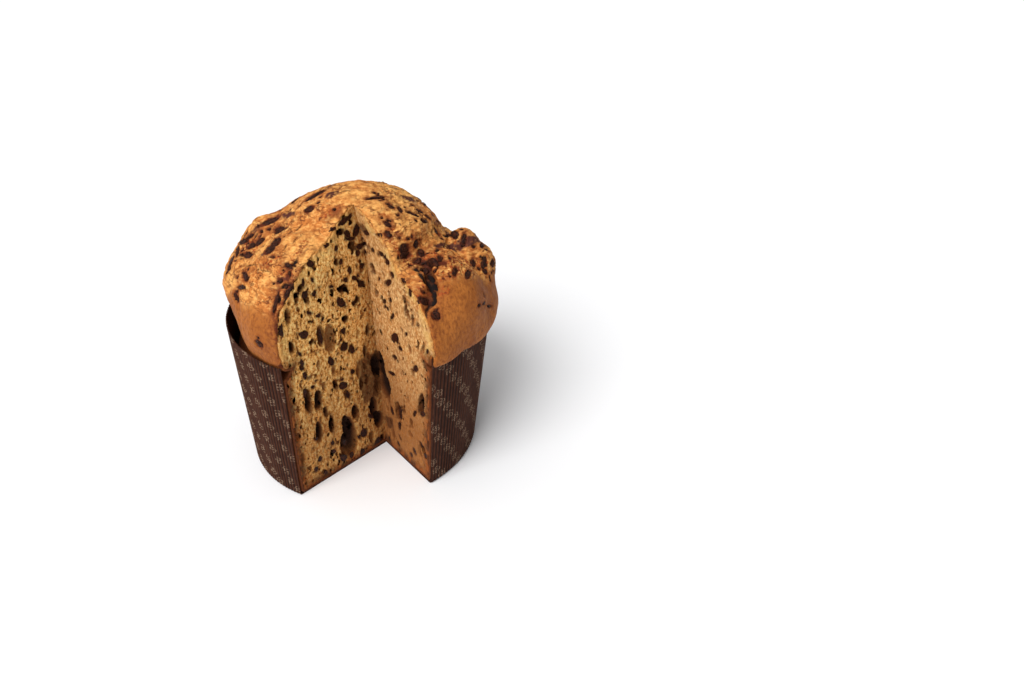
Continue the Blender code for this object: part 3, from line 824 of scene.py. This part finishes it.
def make_mesh(name, points, faces, material, attributes=()):
    """A smooth mesh object from points in millimetres, thinned out where it is very fine."""
    mesh = bpy.data.meshes.new(name)
    starts = np.arange(0, faces.size, faces.shape[1], dtype=np.int32)
    mesh.vertices.add(len(points))
    mesh.vertices.foreach_set("co", placed(points).astype(np.float32).ravel())
    mesh.loops.add(faces.size)
    mesh.loops.foreach_set("vertex_index", faces.astype(np.int32).ravel())
    mesh.polygons.add(len(faces))
    mesh.polygons.foreach_set("loop_start", starts)
    mesh.update(calc_edges=True)
    mesh.validate()
    add_values(mesh, attributes)
    mesh.shade_smooth()
    mesh.materials.append(material)
    obj = add_object(name, mesh)
    if len(faces) > MOST_FACES:
        thin = obj.modifiers.new("thin", "DECIMATE")
        thin.ratio = MOST_FACES / len(faces)
        fine = obj.evaluated_get(bpy.context.evaluated_depsgraph_get())
        obj.data = bpy.data.meshes.new_from_object(fine)
        obj.modifiers.clear()
        bpy.data.meshes.remove(mesh)
    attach(obj, "root")
    return obj


# Materials


def rgb(red, green, blue):
    """A screen colour of 0 to 255 as the light that it stands for."""
    share = [value / 255 for value in (red, green, blue)]
    return tuple(v / 12.92 if v <= 0.04045 else ((v + 0.055) / 1.055) ** 2.4 for v in share) + (1.0,)


class Nodes:
    """Short names for building a node tree."""

    def __init__(self, name):
        self.material = bpy.data.materials.new(name)
        self.material.use_nodes = True
        self.tree = self.material.node_tree
        self.shader = self.tree.nodes["Principled BSDF"]
        self.place = self.new("ShaderNodeTexCoord").outputs["Object"]

    def new(self, kind, **settings):
        node = self.tree.nodes.new(kind)
        for key, value in settings.items():
            setattr(node, key, value)
        return node

    def put(self, socket, value):
        if isinstance(value, bpy.types.NodeSocket):
            self.tree.links.new(value, socket)
        else:
            socket.default_value = value

    def attribute(self, name):
        return self.new("ShaderNodeAttribute", attribute_name=name).outputs["Fac"]

    def math(self, operation, a, b=0.0):
        node = self.new("ShaderNodeMath", operation=operation)
        self.put(node.inputs[0], a)
        self.put(node.inputs[1], b)
        return node.outputs[0]

    def times(self, a, b):
        return self.math("MULTIPLY", a, b)

    def plus(self, a, b):
        return self.math("ADD", a, b)

    def minus(self, a, b):
        return self.math("SUBTRACT", a, b)

    def length(self, a, b):
        return self.math("SQRT", self.plus(self.times(a, a), self.times(b, b)))

    def noise(self, size, detail=3.0, stretch=(1, 1, 1), roughness=0.55):
        """Noise whose lumps are size millimetres across."""
        node = self.new("ShaderNodeMapping")
        self.put(node.inputs["Vector"], self.place)
        node.inputs["Scale"].default_value = tuple(1000 / size / s for s in stretch)
        tex = self.new("ShaderNodeTexNoise")
        for name, value in (
            ("Vector", node.outputs[0]), ("Scale", 1.0), ("Detail", detail), ("Roughness", roughness)
        ):
            self.put(tex.inputs[name], value)
        return tex.outputs["Fac"]

    def span(self, value, low, high, to_low=0.0, to_high=1.0):
        node = self.new("ShaderNodeMapRange")
        node.clamp = True
        self.put(node.inputs["Value"], value)
        for key, number in zip(("From Min", "From Max", "To Min", "To Max"), (low, high, to_low, to_high)):
            node.inputs[key].default_value = number
        return node.outputs["Result"]

    def over(self, colour, *layers):
        """Lays colours over the first one, each by its own share."""
        for share, top in layers:
            node = self.new("ShaderNodeMix", data_type="RGBA")
            self.put(node.inputs["Factor"], share)
            self.put(node.inputs[6], colour)
            self.put(node.inputs[7], top)
            colour = node.outputs[2]
        return colour

    def bump(self, height, strength, distance):
        node = self.new("ShaderNodeBump")
        for name, value in (("Strength", strength), ("Distance", distance), ("Height", height)):
            self.put(node.inputs[name], value)
        return node.outputs[0]

    def finish(self, colour, roughness, gloss=None, normal=None):
        names = ("Base Color", "Roughness", "Specular IOR Level", "Normal")
        for name, value in zip(names, (colour, roughness, gloss, normal)):
            if value is not None:
                self.put(self.shader.inputs[name], value)
        return self.material


def crust_material():
    n = Nodes("crust")
    at = n.attribute
    grain = n.noise(2.6, 5, (1.5, 1.5, 1), 0.65)
    strands = n.noise(1.5, 4, (2.4, 2.4, 0.9), 0.6)
    brown = n.times(at("spotted"), n.span(n.noise(5, 4), 0.36, 0.56))
    ridge = n.math("ABSOLUTE", n.minus(n.noise(7, 4, (1.8, 1.8, 0.6)), 0.5))
    lines = n.times(n.span(ridge, 0.026, 0.006), n.span(n.noise(13, 2), 0.42, 0.56))
    upper = n.over(
        rgb(233, 168, 91),
        (n.span(n.noise(20, 4), 0.38, 0.62), rgb(200, 121, 55)),
        (n.span(strands, 0.5, 0.36, 0, 0.5), rgb(250, 198, 118)),
        (n.span(strands, 0.5, 0.66, 0, 0.6), rgb(140, 72, 28)),
        (n.times(brown, 0.7), rgb(138, 68, 28)),
        (n.span(grain, 0.58, 0.68, 0, 0.7), rgb(104, 48, 18)),
        (n.times(lines, 0.85), rgb(92, 42, 18)),
    )
    lower = n.over(
        rgb(178, 107, 45),
        (n.span(n.noise(12, 3, (1, 1, 3)), 0.35, 0.7), rgb(154, 87, 34)),
        (n.span(n.noise(1.6, 4, (1, 1, 1.8)), 0.42, 0.68, 0, 0.75), rgb(118, 60, 24)),
        (n.times(brown, 0.4), rgb(130, 64, 30)),
    )
    rusty = n.over(rgb(166, 78, 30), (n.span(n.noise(3, 2), 0.4, 0.6), rgb(84, 32, 16)))
    colour = n.over(
        upper,
        (at("smooth"), lower),
        # Painted shade in the grooves of the wrinkles and in the pores of the upper crust
        (n.span(at("groove"), 0.1, 1.0, 0, 0.8), rgb(104, 46, 18)),
        (n.times(at("rim"), n.span(n.noise(2.4, 4, (1, 1, 1), 0.65), 0.47, 0.6)), rgb(112, 50, 22)),
        (n.times(at("tear"), n.span(n.noise(1.7, 3), 0.46, 0.58)), rusty),
        (n.times(at("smear"), n.span(n.noise(3, 3), 0.28, 0.5)), rgb(82, 42, 32)),
        (at("halo"), rgb(88, 36, 16)),
        # Painted shade along the deep crease of the shoulder
        (n.span(at("crease"), 0.2, 0.8), rgb(52, 20, 10)),
        # Painted shade inside the crevices
        (at("crevice"), rgb(20, 8, 5)),
        # Under the skin and on the bread's side inside the case (walled): browner where it baked against the
        # paper, and darker still as painted shade of the gap by the case's wall
        (n.span(at("depth"), 0.9, 2.0), n.over(rgb(206, 148, 76), (at("walled"), rgb(96, 44, 20)))),
        (n.times(at("walled"), 0.85), rgb(84, 38, 16)),
    )
    height = n.plus(n.times(n.noise(0.9, 3), 0.5), grain)
    return n.finish(colour, n.span(grain, 0.3, 0.7, 0.6, 0.8), 0.16, n.bump(height, 0.8, 0.0008))


def crumb_material():
    n = Nodes("crumb")
    at = n.attribute
    grain = n.noise(1.5, 4, (1, 1, 1.5), 0.7)
    # pale marks the right face. The left face, turned away from the key light, gets a brighter base colour
    # than the right: painted light
    pale = at("pale")
    edge = at("depth")
    much = n.minus(1.0, n.times(pale, 0.55))
    cream = n.times(n.span(edge, 10.0, 5.0), n.span(n.noise(7, 2), 0.42, 0.56))
    rusty = n.over(rgb(140, 70, 26), (n.span(n.noise(4, 3, (1, 1, 2)), 0.4, 0.56), rgb(56, 22, 10)))
    colour = n.over(
        rgb(248, 178, 92),
        (pale, rgb(200, 147, 91)),
        (n.span(n.noise(24, 3), 0.36, 0.64, 0, 0.5), rgb(204, 132, 60)),
        (n.span(n.noise(3.4, 3, (1, 1, 4)), 0.5, 0.68, 0, 0.5), rgb(166, 94, 36)),
        (n.span(grain, 0.52, 0.4, 0, 0.95), n.over(rgb(255, 220, 144), (pale, rgb(230, 188, 128)))),
        (n.times(n.span(grain, 0.53, 0.64, 0, 0.95), much), rgb(104, 54, 20)),
        # Painted shade: darker towards the bottom of the cut faces
        (at("low"), rgb(150, 92, 44)),
        # Painted shade at the inner corner of the notch, on the left face
        (at("corner"), rgb(136, 82, 36)),
        (n.times(at("stain"), 0.8), rgb(80, 42, 20)),
        (n.span(at("hole"), 0.0, 1.0, 0, 0.75), n.over(rgb(198, 140, 66), (pale, rgb(180, 126, 78)))),
        # Darker with depth below the cut: a browner tone of the crumb, and painted shade in its pits, near
        # black in the deepest
        (n.span(at("pit"), 0.5, 1.8, 0, 0.8), rgb(108, 58, 24)),
        (n.span(at("pit"), 2.0, 4.4, 0, 0.95), rgb(32, 14, 6)),
        (n.times(cream, n.minus(0.6, n.times(at("walled"), 0.6))), rgb(236, 192, 112)),
        (n.span(edge, 4.5, 1.5, 0, 0.5), rgb(186, 116, 52)),
        (n.times(n.times(at("walled"), n.span(edge, 9.0, 3.0)), 0.85), rusty),
    )
    height = n.plus(n.noise(0.7, 2, (1, 1, 2)), n.times(grain, 1.6))
    return n.finish(colour, 0.85, 0.15, n.bump(height, 0.8, 0.0008))


def chocolate_material():
    n = Nodes("chocolate")
    spots = n.noise(1.6, 4)
    colour = n.over(rgb(36, 15, 8), (n.span(spots, 0.42, 0.68), rgb(76, 37, 21)))
    return n.finish(colour, n.span(spots, 0.3, 0.7, 0.4, 0.65), 0.13, n.bump(n.noise(0.9, 3), 0.7, 0.0006))


def paper_material():
    """Dark brown paper with pairs of small outlined flowers in staggered rows, and painted shade in the
    pleats' valleys.
    """
    n = Nodes("paper")
    row = n.math("DIVIDE", n.attribute("up"), MOTIF[1])
    row_number = n.math("FLOOR", row)
    shift = n.times(n.math("MODULO", row_number, 2.0), 0.5)
    column = n.plus(n.math("DIVIDE", n.attribute("along"), MOTIF[0]), shift)
    column_number = n.math("FLOOR", column)
    grid = n.new("ShaderNodeCombineXYZ")
    n.put(grid.inputs[0], column_number)
    n.put(grid.inputs[1], row_number)
    chance = n.new("ShaderNodeTexWhiteNoise", noise_dimensions="2D")
    n.put(chance.inputs["Vector"], grid.outputs[0])
    part = n.new("ShaderNodeSeparateColor")
    n.put(part.inputs[0], chance.outputs["Color"])
    x = n.times(n.minus(n.minus(column, column_number), 0.5), MOTIF[0])
    y = n.times(n.minus(n.minus(row, row_number), 0.5), MOTIF[1])
    x = n.plus(x, n.times(n.minus(part.outputs[0], 0.5), 2.0))

    def flower(side, turn):
        fifth = 2 * math.pi / 5
        away = n.minus(x, -side * FLOWER_AT[0])
        above = n.minus(y, side * FLOWER_AT[1])
        angle = n.plus(n.math("ARCTAN2", above, away), n.plus(part.outputs[2], turn))
        bend = n.times(n.minus(n.math("FRACT", n.math("DIVIDE", angle, fifth)), 0.5), fifth)
        far = n.length(away, above)
        outward = n.minus(n.times(far, n.math("COSINE", bend)), PETAL_AT)
        sideways = n.times(n.times(far, n.math("SINE", bend)), 1.1)
        petal = n.length(outward, sideways)
        return n.span(n.math("ABSOLUTE", n.minus(petal, PETAL_RADIUS)), 0.42, 0.15)

    ink = n.math("MAXIMUM", flower(1, 0.0), flower(-1, 0.6))
    ink = n.times(ink, n.span(n.noise(1.3, 2), 0.36, 0.5, 0.35, 1.0))
    fibre = n.noise(1.2, 3, (1, 1, 4))
    colour = n.over(
        rgb(58, 30, 19),
        (n.span(fibre, 0.35, 0.7), rgb(80, 46, 31)),
        (n.times(ink, n.attribute("outer")), rgb(132, 106, 86)),
        # Painted shade in the valleys of the pleats
        (n.span(n.attribute("fold"), 0.4, 0.8, 0, 0.9), rgb(20, 10, 8)),
    )
    return n.finish(colour, 0.7, 0.08, n.bump(fibre, 0.2, 0.0002))


# Pieces of bread


def crust_field(points, detail):
    bread = bread_field(points)
    wedge = wedge_field(points)
    if detail:
        torn = 0.5 + 0.8 * noise(points, 5.0, 51) + 0.5 * noise(points, 2.2, 52)
        wedge = wedge + torn * np.clip((points[:, 2] - 106) / 6, 0.2, 1)
    slab = np.maximum(bread + skin_depth(points), -wedge - CRUMB_DEPTH)
    return np.maximum(np.maximum(bread, wedge), -slab)


def crumb_waves(points):
    """The cut face's slow ups and downs, outward."""
    return 1.0 * noise(points, (16.0, 16.0, 26.0), 22) + 0.5 * noise(points, (6.0, 6.0, 12.0), 28)


def crumb_cut(points, side, marks):
    """The torn and pitted cut face: above zero outside the crumb and inside its holes."""
    into, along = cut_places(points)[side]
    z = points[:, 2]
    calm = ROUGHNESS[side]
    fibre = 0.45 * noise(points, (1.6, 1.6, 3.8), 23) + 0.3 * noise(points, 1.1, 24)
    cut = into - calm * crumb_waves(points) - calm * fibre
    small = bubbles(points + calm, (2.6, 2.6, 4.6), 25, 0.8 * calm, 0.22, 0.5)
    large = bubbles(points + calm, (6.0, 6.0, 11.0), 26, 0.55 * calm, 0.14, 0.42)
    hole = far_from(points)
    bent = 0.5 * noise(points, 3.0, 27)
    for middle, height, half_width, half_height in HOLES[side]:
        close = (np.abs(z - height) < half_height + 2) & (np.abs(along - middle) < half_width + 2)
        deep = (0.9 if half_width < WIDE_HOLE else 0.55) * half_width
        away = np.sqrt(
            ((along[close] - middle) / half_width) ** 2
            + ((z[close] - height) / half_height) ** 2
            + (into[close] / deep) ** 2
        )
        hole[close] = np.minimum(hole[close], (away - 1) * half_width + bent[close])
    pocket = far_from(points)
    for mark in marks:
        close, local = mark.local(points)
        far = (np.sqrt((local * local).sum(axis=1)) - 1.12) * mark.size + 0.5 * bent[close]
        pocket[close] = np.minimum(pocket[close], far)
    pore = np.where(hole < 0.6, FAR, np.minimum(small, large))
    empty = np.minimum(np.minimum(pore, hole), pocket)
    return np.maximum(cut, -empty), hole


def make_crumb(side, material, marks):
    def field(points, detail):
        wedge = wedge_field(points)
        slab = np.maximum(bread_field(points) + skin_depth(points) - CRUMB_OVERLAP, -wedge - CRUMB_DEPTH)
        middle = points[:, 0] - cut_line(points[:, 2], CUT_CORNER_X)
        whole = np.maximum(slab, (-middle if side else middle) - 0.5)
        if not detail:
            return np.maximum(wedge, whole)
        cut = wedge.copy()
        near = (wedge > -9) & (wedge < 3.5) & (whole < 1.0)
        cut[near] = crumb_cut(points[near], side, marks)[0]
        return np.maximum(cut, whole)

    points, quads = surface_of(field, CRUMB_BOXES[side], CRUMB_VOXEL, 9.0, 4.0)
    wedge = wedge_field(points)
    hidden = (wedge < -9) | ((wedge < -2.0) & (bread_field(points) > -skin_depth(points) - 0.2))
    hidden &= off_creases(points)
    middle = points[:, 0] - cut_line(points[:, 2], CUT_CORNER_X)
    hidden |= (wedge < -1.5) & (np.abs(middle - (-0.5 if side else 0.5)) < 0.1)
    sheet = np.where(wedge < -CRUMB_DEPTH + 2.5, 1, 0) + np.where(np.abs(middle) < 1.0, 2, 0)
    points, triangles = largest_piece(*coarsen(points, as_triangles(quads), hidden, sheet))
    z = points[:, 2]
    hole = crumb_cut(points, side, marks)[1]
    into, along = cut_places(points)[side]
    stain = mark_distance(points, marks) + 0.5 * noise(points, 1.6, 33)
    attributes = (
        # Depth below the cut face, which the crumb's colour uses for painted shade in the pits
        ("pit", ROUGHNESS[side] * crumb_waves(points) - into),
        ("hole", ramp(0.2 - hole / 0.8)),
        ("stain", ramp(1.0 - stain / 1.2)),
        # Painted shade near the notch's inner corner
        ("corner", CORNER_SHADE[side] * bell(along, 9.0)),
        ("pale", np.full(len(points), float(side))),
        # Painted shade, darker towards the bottom of each cut face
        ("low", LOW_SHADE[side] * ramp((110 - z) / 70)),
        ("depth", -bread_field(points)),
        ("walled", 1 / (1 + np.exp((z - 112) / 2.5))),
    )
    return make_mesh(CRUMB_NAMES[side], points, triangles, material, attributes)


def make_crust(material, chips, smears, tears, crevices):
    points, quads = surface_of(crust_field, CRUST_BOX, CRUST_VOXEL, 4.0, 4.0)
    z = points[:, 2]
    wedge = wedge_field(points)
    bare = bread_field(points)
    in_case = (off_axis(points) < case_radius(z) - 0.5) & (z < 96) & (wedge < -2.5) & (bare > -1.0)
    inner = (wedge < -2.5) & (bare < -1.0) & off_creases(points)
    sheet = np.where(bare < -0.5 * skin_depth(points), 1, 0) + np.where(wedge < -CRUMB_DEPTH + 1.5, 2, 0)
    points, triangles = largest_piece(*coarsen(points, as_triangles(quads), in_case | inner, sheet))
    z = points[:, 2]
    wedge = wedge_field(points)
    bare = bread_field(points)
    radius = off_axis(points)
    clear = ramp((np.abs(radius - case_radius(z) + SLOT_INSET) - 1.5) / 1.5)
    skin = bell(bare, 0.7) * np.clip((z - 96) / 8, 0.12, 1)
    skin *= np.maximum(clear, ramp((z - CASE_HEIGHT - 0.5) / 3))
    smooth = smooth_zone(points)
    relief, groove = skin_relief(points, smooth)
    near = mark_distance(points, chips)
    outside = np.maximum(near, 0)
    relief *= 1 - 0.85 * bell(outside, 1.8)
    relief += 0.4 * bell(near - 1.1, 0.6) - 0.5 * bell(outside, 0.5)
    rough = 0.7 * noise(points, 1.6, 31)
    crevice = ramp(0.4 - (mark_distance(points, crevices) + 0.6 * rough) / 0.6)
    relief = np.maximum(relief - 1.2 * crevice, -0.9)
    attributes = (
        ("smooth", smooth),
        ("groove", groove),
        ("depth", -bare),
        ("halo", ramp(1.05 - (near + rough) / 0.9)),
        ("smear", ramp(0.6 - (mark_distance(points, smears) + rough) / 1.2)),
        ("tear", ramp(0.6 - (mark_distance(points, tears) + rough) / 1.5)),
        # Closeness to the deep crease, for its painted shade
        ("crease", bell(path_distance(points, CREASES[0][0]), 3.4)),
        ("crevice", crevice),
        ("rim", bell(wedge, 6.0) * ramp((z - 112) / 10) * np.clip((172 - z) / 16, 0, 0.8)),
        ("spotted", bell(outside, 2.8)),
        # The bread's side inside the case: its own baked browning, and painted shade of the gap by the wall
        ("walled", (radius < case_radius(z) - 0.6) / (1 + np.exp((z - 109) / 1.5))),
    )
    moved = points + (relief * skin)[:, None] * gradient(bread_field, points)
    return make_mesh("crust", moved, triangles, material, attributes)


def unit_ball(fineness):
    ball = bmesh.new()
    bmesh.ops.create_icosphere(ball, subdivisions=fineness, radius=1.0)
    sphere = np.array([vert.co for vert in ball.verts], np.float32)
    faces = np.array([[vert.index for vert in face.verts] for face in ball.faces])
    ball.free()
    return sphere, faces


def bread_ripple(lump, mark):
    """Uneven steps along the surface, which make a chip's outline ragged."""
    step = np.stack([noise(lump, 1.1, seed) + 0.5 * noise(lump, 0.6, seed) for seed in (44, 45, 46)], axis=1)
    return step - (step @ mark.out())[:, None] * mark.out()


def settle(points, limits):
    """Draws points back to a field's surface where they stand further out of it than allowed."""
    for field, allowed in limits:
        over = field(points) - allowed
        far = np.flatnonzero(over > 0)
        if len(far):
            points[far] -= over[far, None] * gradient(field, points[far])
    return points


def make_lumps(name, marks, material, finer, cut):
    """Chips of chocolate: uneven lumps, sunk in the crust or sliced at the cut face."""
    coarse, fine = unit_ball(3), unit_ball(4)
    points = []
    triangles = []
    start = 0
    for number, mark in enumerate(marks):
        sphere, faces = fine if finer and mark.size > 1.0 else coarse
        spots = sphere + 10.0 * number
        swell = 1 + 0.6 * noise(spots, 1.0, 41) + 0.38 * noise(spots, 0.45, 42)
        lump = mark.middle + (sphere * swell[:, None]) @ mark.axes
        out = mark.out()
        if cut:
            lump += 0.45 * bread_ripple(lump, mark)
            left, right = cut_places(lump)
            into = (left if out[0] > 0 else right)[0]
            level = -0.25 - 0.5 * SPREAD[number % 4096, 3] + 0.2 * noise(lump, 1.5, 43)
            lump = lump - np.maximum(into - level, 0)[:, None] * out
        else:
            lump = lump - 0.7 * mark.axes[2]
            lump += 0.55 * bread_ripple(lump, mark)
            proud = np.maximum((lump - mark.middle) @ out - 0.2, 0)
            lump -= 0.6 * proud[:, None] * out
        triangles.append(faces + start)
        start += len(sphere)
        points.append(lump)
    limits = ((bread_field, CRUST_CHIP_LIMIT), (wedge_field, -0.3))
    if cut:
        limits = ((bread_field, CUT_CHIP_LIMIT),)
    points = settle(np.concatenate(points).astype(np.float32), limits)
    return make_mesh(name, points, np.concatenate(triangles), material)


# Paper case


def cut_turn_on_wall(z, turns):
    """The turn round the case's axis at which a cut meets its wall."""
    turn = math.radians(float(cut_line(z, turns)))
    ahead = np.array((math.sin(turn), -math.cos(turn)))
    start = np.array((float(cut_line(z, CUT_CORNER_X)) - case_axis(z), CUT_CORNER_Y))
    along = -start @ ahead + math.sqrt((start @ ahead) ** 2 - start @ start + case_radius(z) ** 2)
    spot = start + along * ahead
    return math.atan2(spot[0], -spot[1])


def make_case(material):
    """A sheet with two sides: floor, then pleated wall, open where the wedge is cut."""
    count = PLEATS * POINTS_A_PLEAT
    turns = np.arange(count + 1) * 2 * math.pi / count
    wander = 0.35 * np.sin(turns * 23 + 1) * np.sin(turns * 7) + 0.2 * np.sin(turns * 41 + 2)
    wave = 2 / math.pi * np.arcsin(0.93 * np.sin(turns * PLEATS + wander))
    fold = PLEAT_DEPTH * (0.5 - 0.5 * wave) * (0.85 + 0.15 * np.sin(turns * 13 + 3))
    rim = 0.35 * np.sin(turns * 9) * np.sin(turns * 4 + 1) + 0.12 * np.sin(turns * PLEATS / 2)
    sheets = []
    creases = []
    for inset in (0.0, PAPER):
        creases.append(np.zeros(count + 1))
        corner = (float(cut_line(0.0, CUT_CORNER_X)), CUT_CORNER_Y, inset)
        rows = [[np.full(count + 1, value) for value in corner]]
        for z in CASE_ROWS:
            low = cut_turn_on_wall(z, CUT_RIGHT_TURNS)
            high = 2 * math.pi + cut_turn_on_wall(z, CUT_LEFT_TURNS)
            at = np.clip(turns, low, high)
            here = np.interp(at, turns, fold)
            round_foot = 1.5 * max(0.0, 1 - z / 1.6) ** 2
            radius = case_radius(z) - inset - here * min(1.0, 0.4 + z / 4) - round_foot
            height = np.full(count + 1, max(z, inset)) + np.interp(at, turns, rim) * (z > 105) * (z - 105) / 5
            rows.append((case_axis(z) + radius * np.sin(at), -radius * np.cos(at), height))
            creases.append(here / PLEAT_DEPTH)
        sheets.append(np.transpose(np.array(rows), (0, 2, 1)))
    tall, wide = sheets[0].shape[:2]
    points = np.concatenate([sheet.reshape(-1, 3) for sheet in sheets])
    index = np.arange(2 * tall * wide).reshape(2, tall, wide)
    outer, inner = index

    def strip(a, b):
        return np.stack([a[:-1], a[1:], b[1:], b[:-1]], axis=1)

    quads = [strip(outer[row], outer[row + 1]) for row in range(tall - 1)]
    quads += [strip(inner[row + 1], inner[row]) for row in range(tall - 1)]
    quads += [strip(outer[-1], inner[-1]), strip(inner[:, 0], outer[:, 0]), strip(outer[:, -1], inner[:, -1])]
    mesh = bpy.data.meshes.new("case")
    mesh.from_pydata(placed(points).tolist(), [], np.concatenate(quads).tolist())
    up = points[:, 2]
    angle = np.arctan2(points[:, 0] - case_axis(up), -points[:, 1]) % (2 * math.pi)
    outer_side = np.zeros(len(points))
    outer_side[:tall * wide] = up[:tall * wide] > 1.0
    attributes = (
        ("along", angle * PRINT_RADIUS + 0.7 * (off_axis(points) - case_radius(up))),
        ("up", up),
        ("outer", outer_side),
        # How deep in a pleat's valley, for the painted shade there
        ("fold", np.concatenate(creases)),
    )
    add_values(mesh, attributes)
    work = bmesh.new()
    work.from_mesh(mesh)
    bmesh.ops.remove_doubles(work, verts=work.verts, dist=2e-6)
    bmesh.ops.dissolve_degenerate(work, edges=work.edges, dist=2e-6)
    bmesh.ops.recalc_face_normals(work, faces=work.faces)
    work.to_mesh(mesh)
    work.free()
    mesh.shade_smooth()
    mesh.set_sharp_from_angle(angle=math.radians(50))
    mesh.materials.append(material)
    obj = add_object("case", mesh)
    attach(obj, "root")
    return obj


# Stage


def make_camera():
    across, above, forward = (Vector(axis) for axis in camera_axes())
    camera = bpy.data.cameras.new("camera")
    camera.sensor_width = SENSOR
    camera.lens = FOCAL * SENSOR / PICTURE[0]
    camera.clip_start = 0.01
    obj = add_object("camera", camera)
    turn = Matrix((across, above, -forward)).transposed().to_4x4()
    obj.matrix_world = Matrix.Translation(Vector(placed(CAMERA_AT))) @ turn
    bpy.context.scene.camera = obj


def make_sun(name, at, power, width):
    light = bpy.data.lights.new(name, "SUN")
    light.energy = power
    light.angle = math.radians(width)
    obj = add_object(name, light)
    obj.location = at
    obj.rotation_euler = (Vector(LIT_PLACE) - Vector(at)).to_track_quat("-Z", "Y").to_euler()


def make_stage():
    world = bpy.data.worlds.new("world")
    bpy.context.scene.world = world
    world.use_nodes = True
    background = world.node_tree.nodes["Background"]
    background.inputs[0].default_value = (1, 1, 1, 1)
    background.inputs[1].default_value = 0.13
    make_sun("key", (-0.5, -0.88, 1.2), 2.75, 40)
    make_sun("overhead", (-0.2, -0.1, 1.0), 1.5, 90)
    mesh = bpy.data.meshes.new("floor")
    corners = [(-FLOOR, -FLOOR, 0), (FLOOR, -FLOOR, 0), (FLOOR, FLOOR, 0), (-FLOOR, FLOOR, 0)]
    mesh.from_pydata(corners, [], [(0, 1, 2, 3)])
    n = Nodes("floor")
    colour = n.over(rgb(240, 240, 241), (n.noise(300, 2), rgb(244, 244, 245)))
    mesh.materials.append(n.finish(colour, 0.7))
    add_object("floor", mesh)


def main():
    chance = np.random.default_rng(21)
    make_camera()
    make_stage()
    chips = marks_seen(CRUST_CHIPS, cut_bread, bread_field, CHIP_THICKNESS)
    smears, tears, crevices = (
        marks_seen(rows, cut_bread, bread_field, 1.0) for rows in (CRUST_SMEARS, CRUST_TEARS, CRUST_CREVICES)
    )
    on_crust = lambda spots: wedge_field(spots) < -1.5
    chips += specks_near(chips, CRUST_SPECKS, bread_field, on_crust, chance)
    behind = marks_elsewhere(CHIPS_BEHIND, chance)
    away_from_cut = lambda spots: wedge_field(spots) < -6
    behind += specks_near(behind, SPECKS_BEHIND, bread_field, away_from_cut, chance)
    in_crumb = marks_seen(CRUMB_CHIPS, cut_bread, wedge_field, CRUMB_CHIP_THICKNESS, CRUMB_CHIP_SHARE)
    low_crumb = hidden_crumb_marks(LOW_CRUMB_CHIPS, chance)
    inside = lambda spots: bread_field(spots) < -2.5
    specks = specks_near(in_crumb, CRUMB_SPECKS, wedge_field, inside, chance)
    pits = marks_seen(CRUMB_PITS, cut_bread, wedge_field, PIT_DEPTH)
    chocolates = [
        mark for mark in in_crumb + low_crumb + specks if mark_distance(mark.middle[None], pits)[0] > 0.3
    ]
    chocolate = chocolate_material()
    crumb = crumb_material()
    pieces = (
        (make_crust(crust_material(), chips + behind, smears, tears, crevices), "crust"),
        (make_crumb(0, crumb, chocolates + pits), "crumb"),
        (make_crumb(1, crumb, chocolates + pits), "crumb"),
        (make_lumps("chips_in_crust", chips, chocolate, True, False), "chocolate"),
        (make_lumps("chips_behind", behind, chocolate, False, False), "chocolate"),
        (make_lumps("chips_in_crumb", chocolates, chocolate, True, True), "chocolate"),
    )
    for piece, slot in pieces:
        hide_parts("bread")
    case = make_case(paper_material())
    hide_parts("paper_case")
    bpy.context.scene.view_settings.view_transform = "Standard"


main()
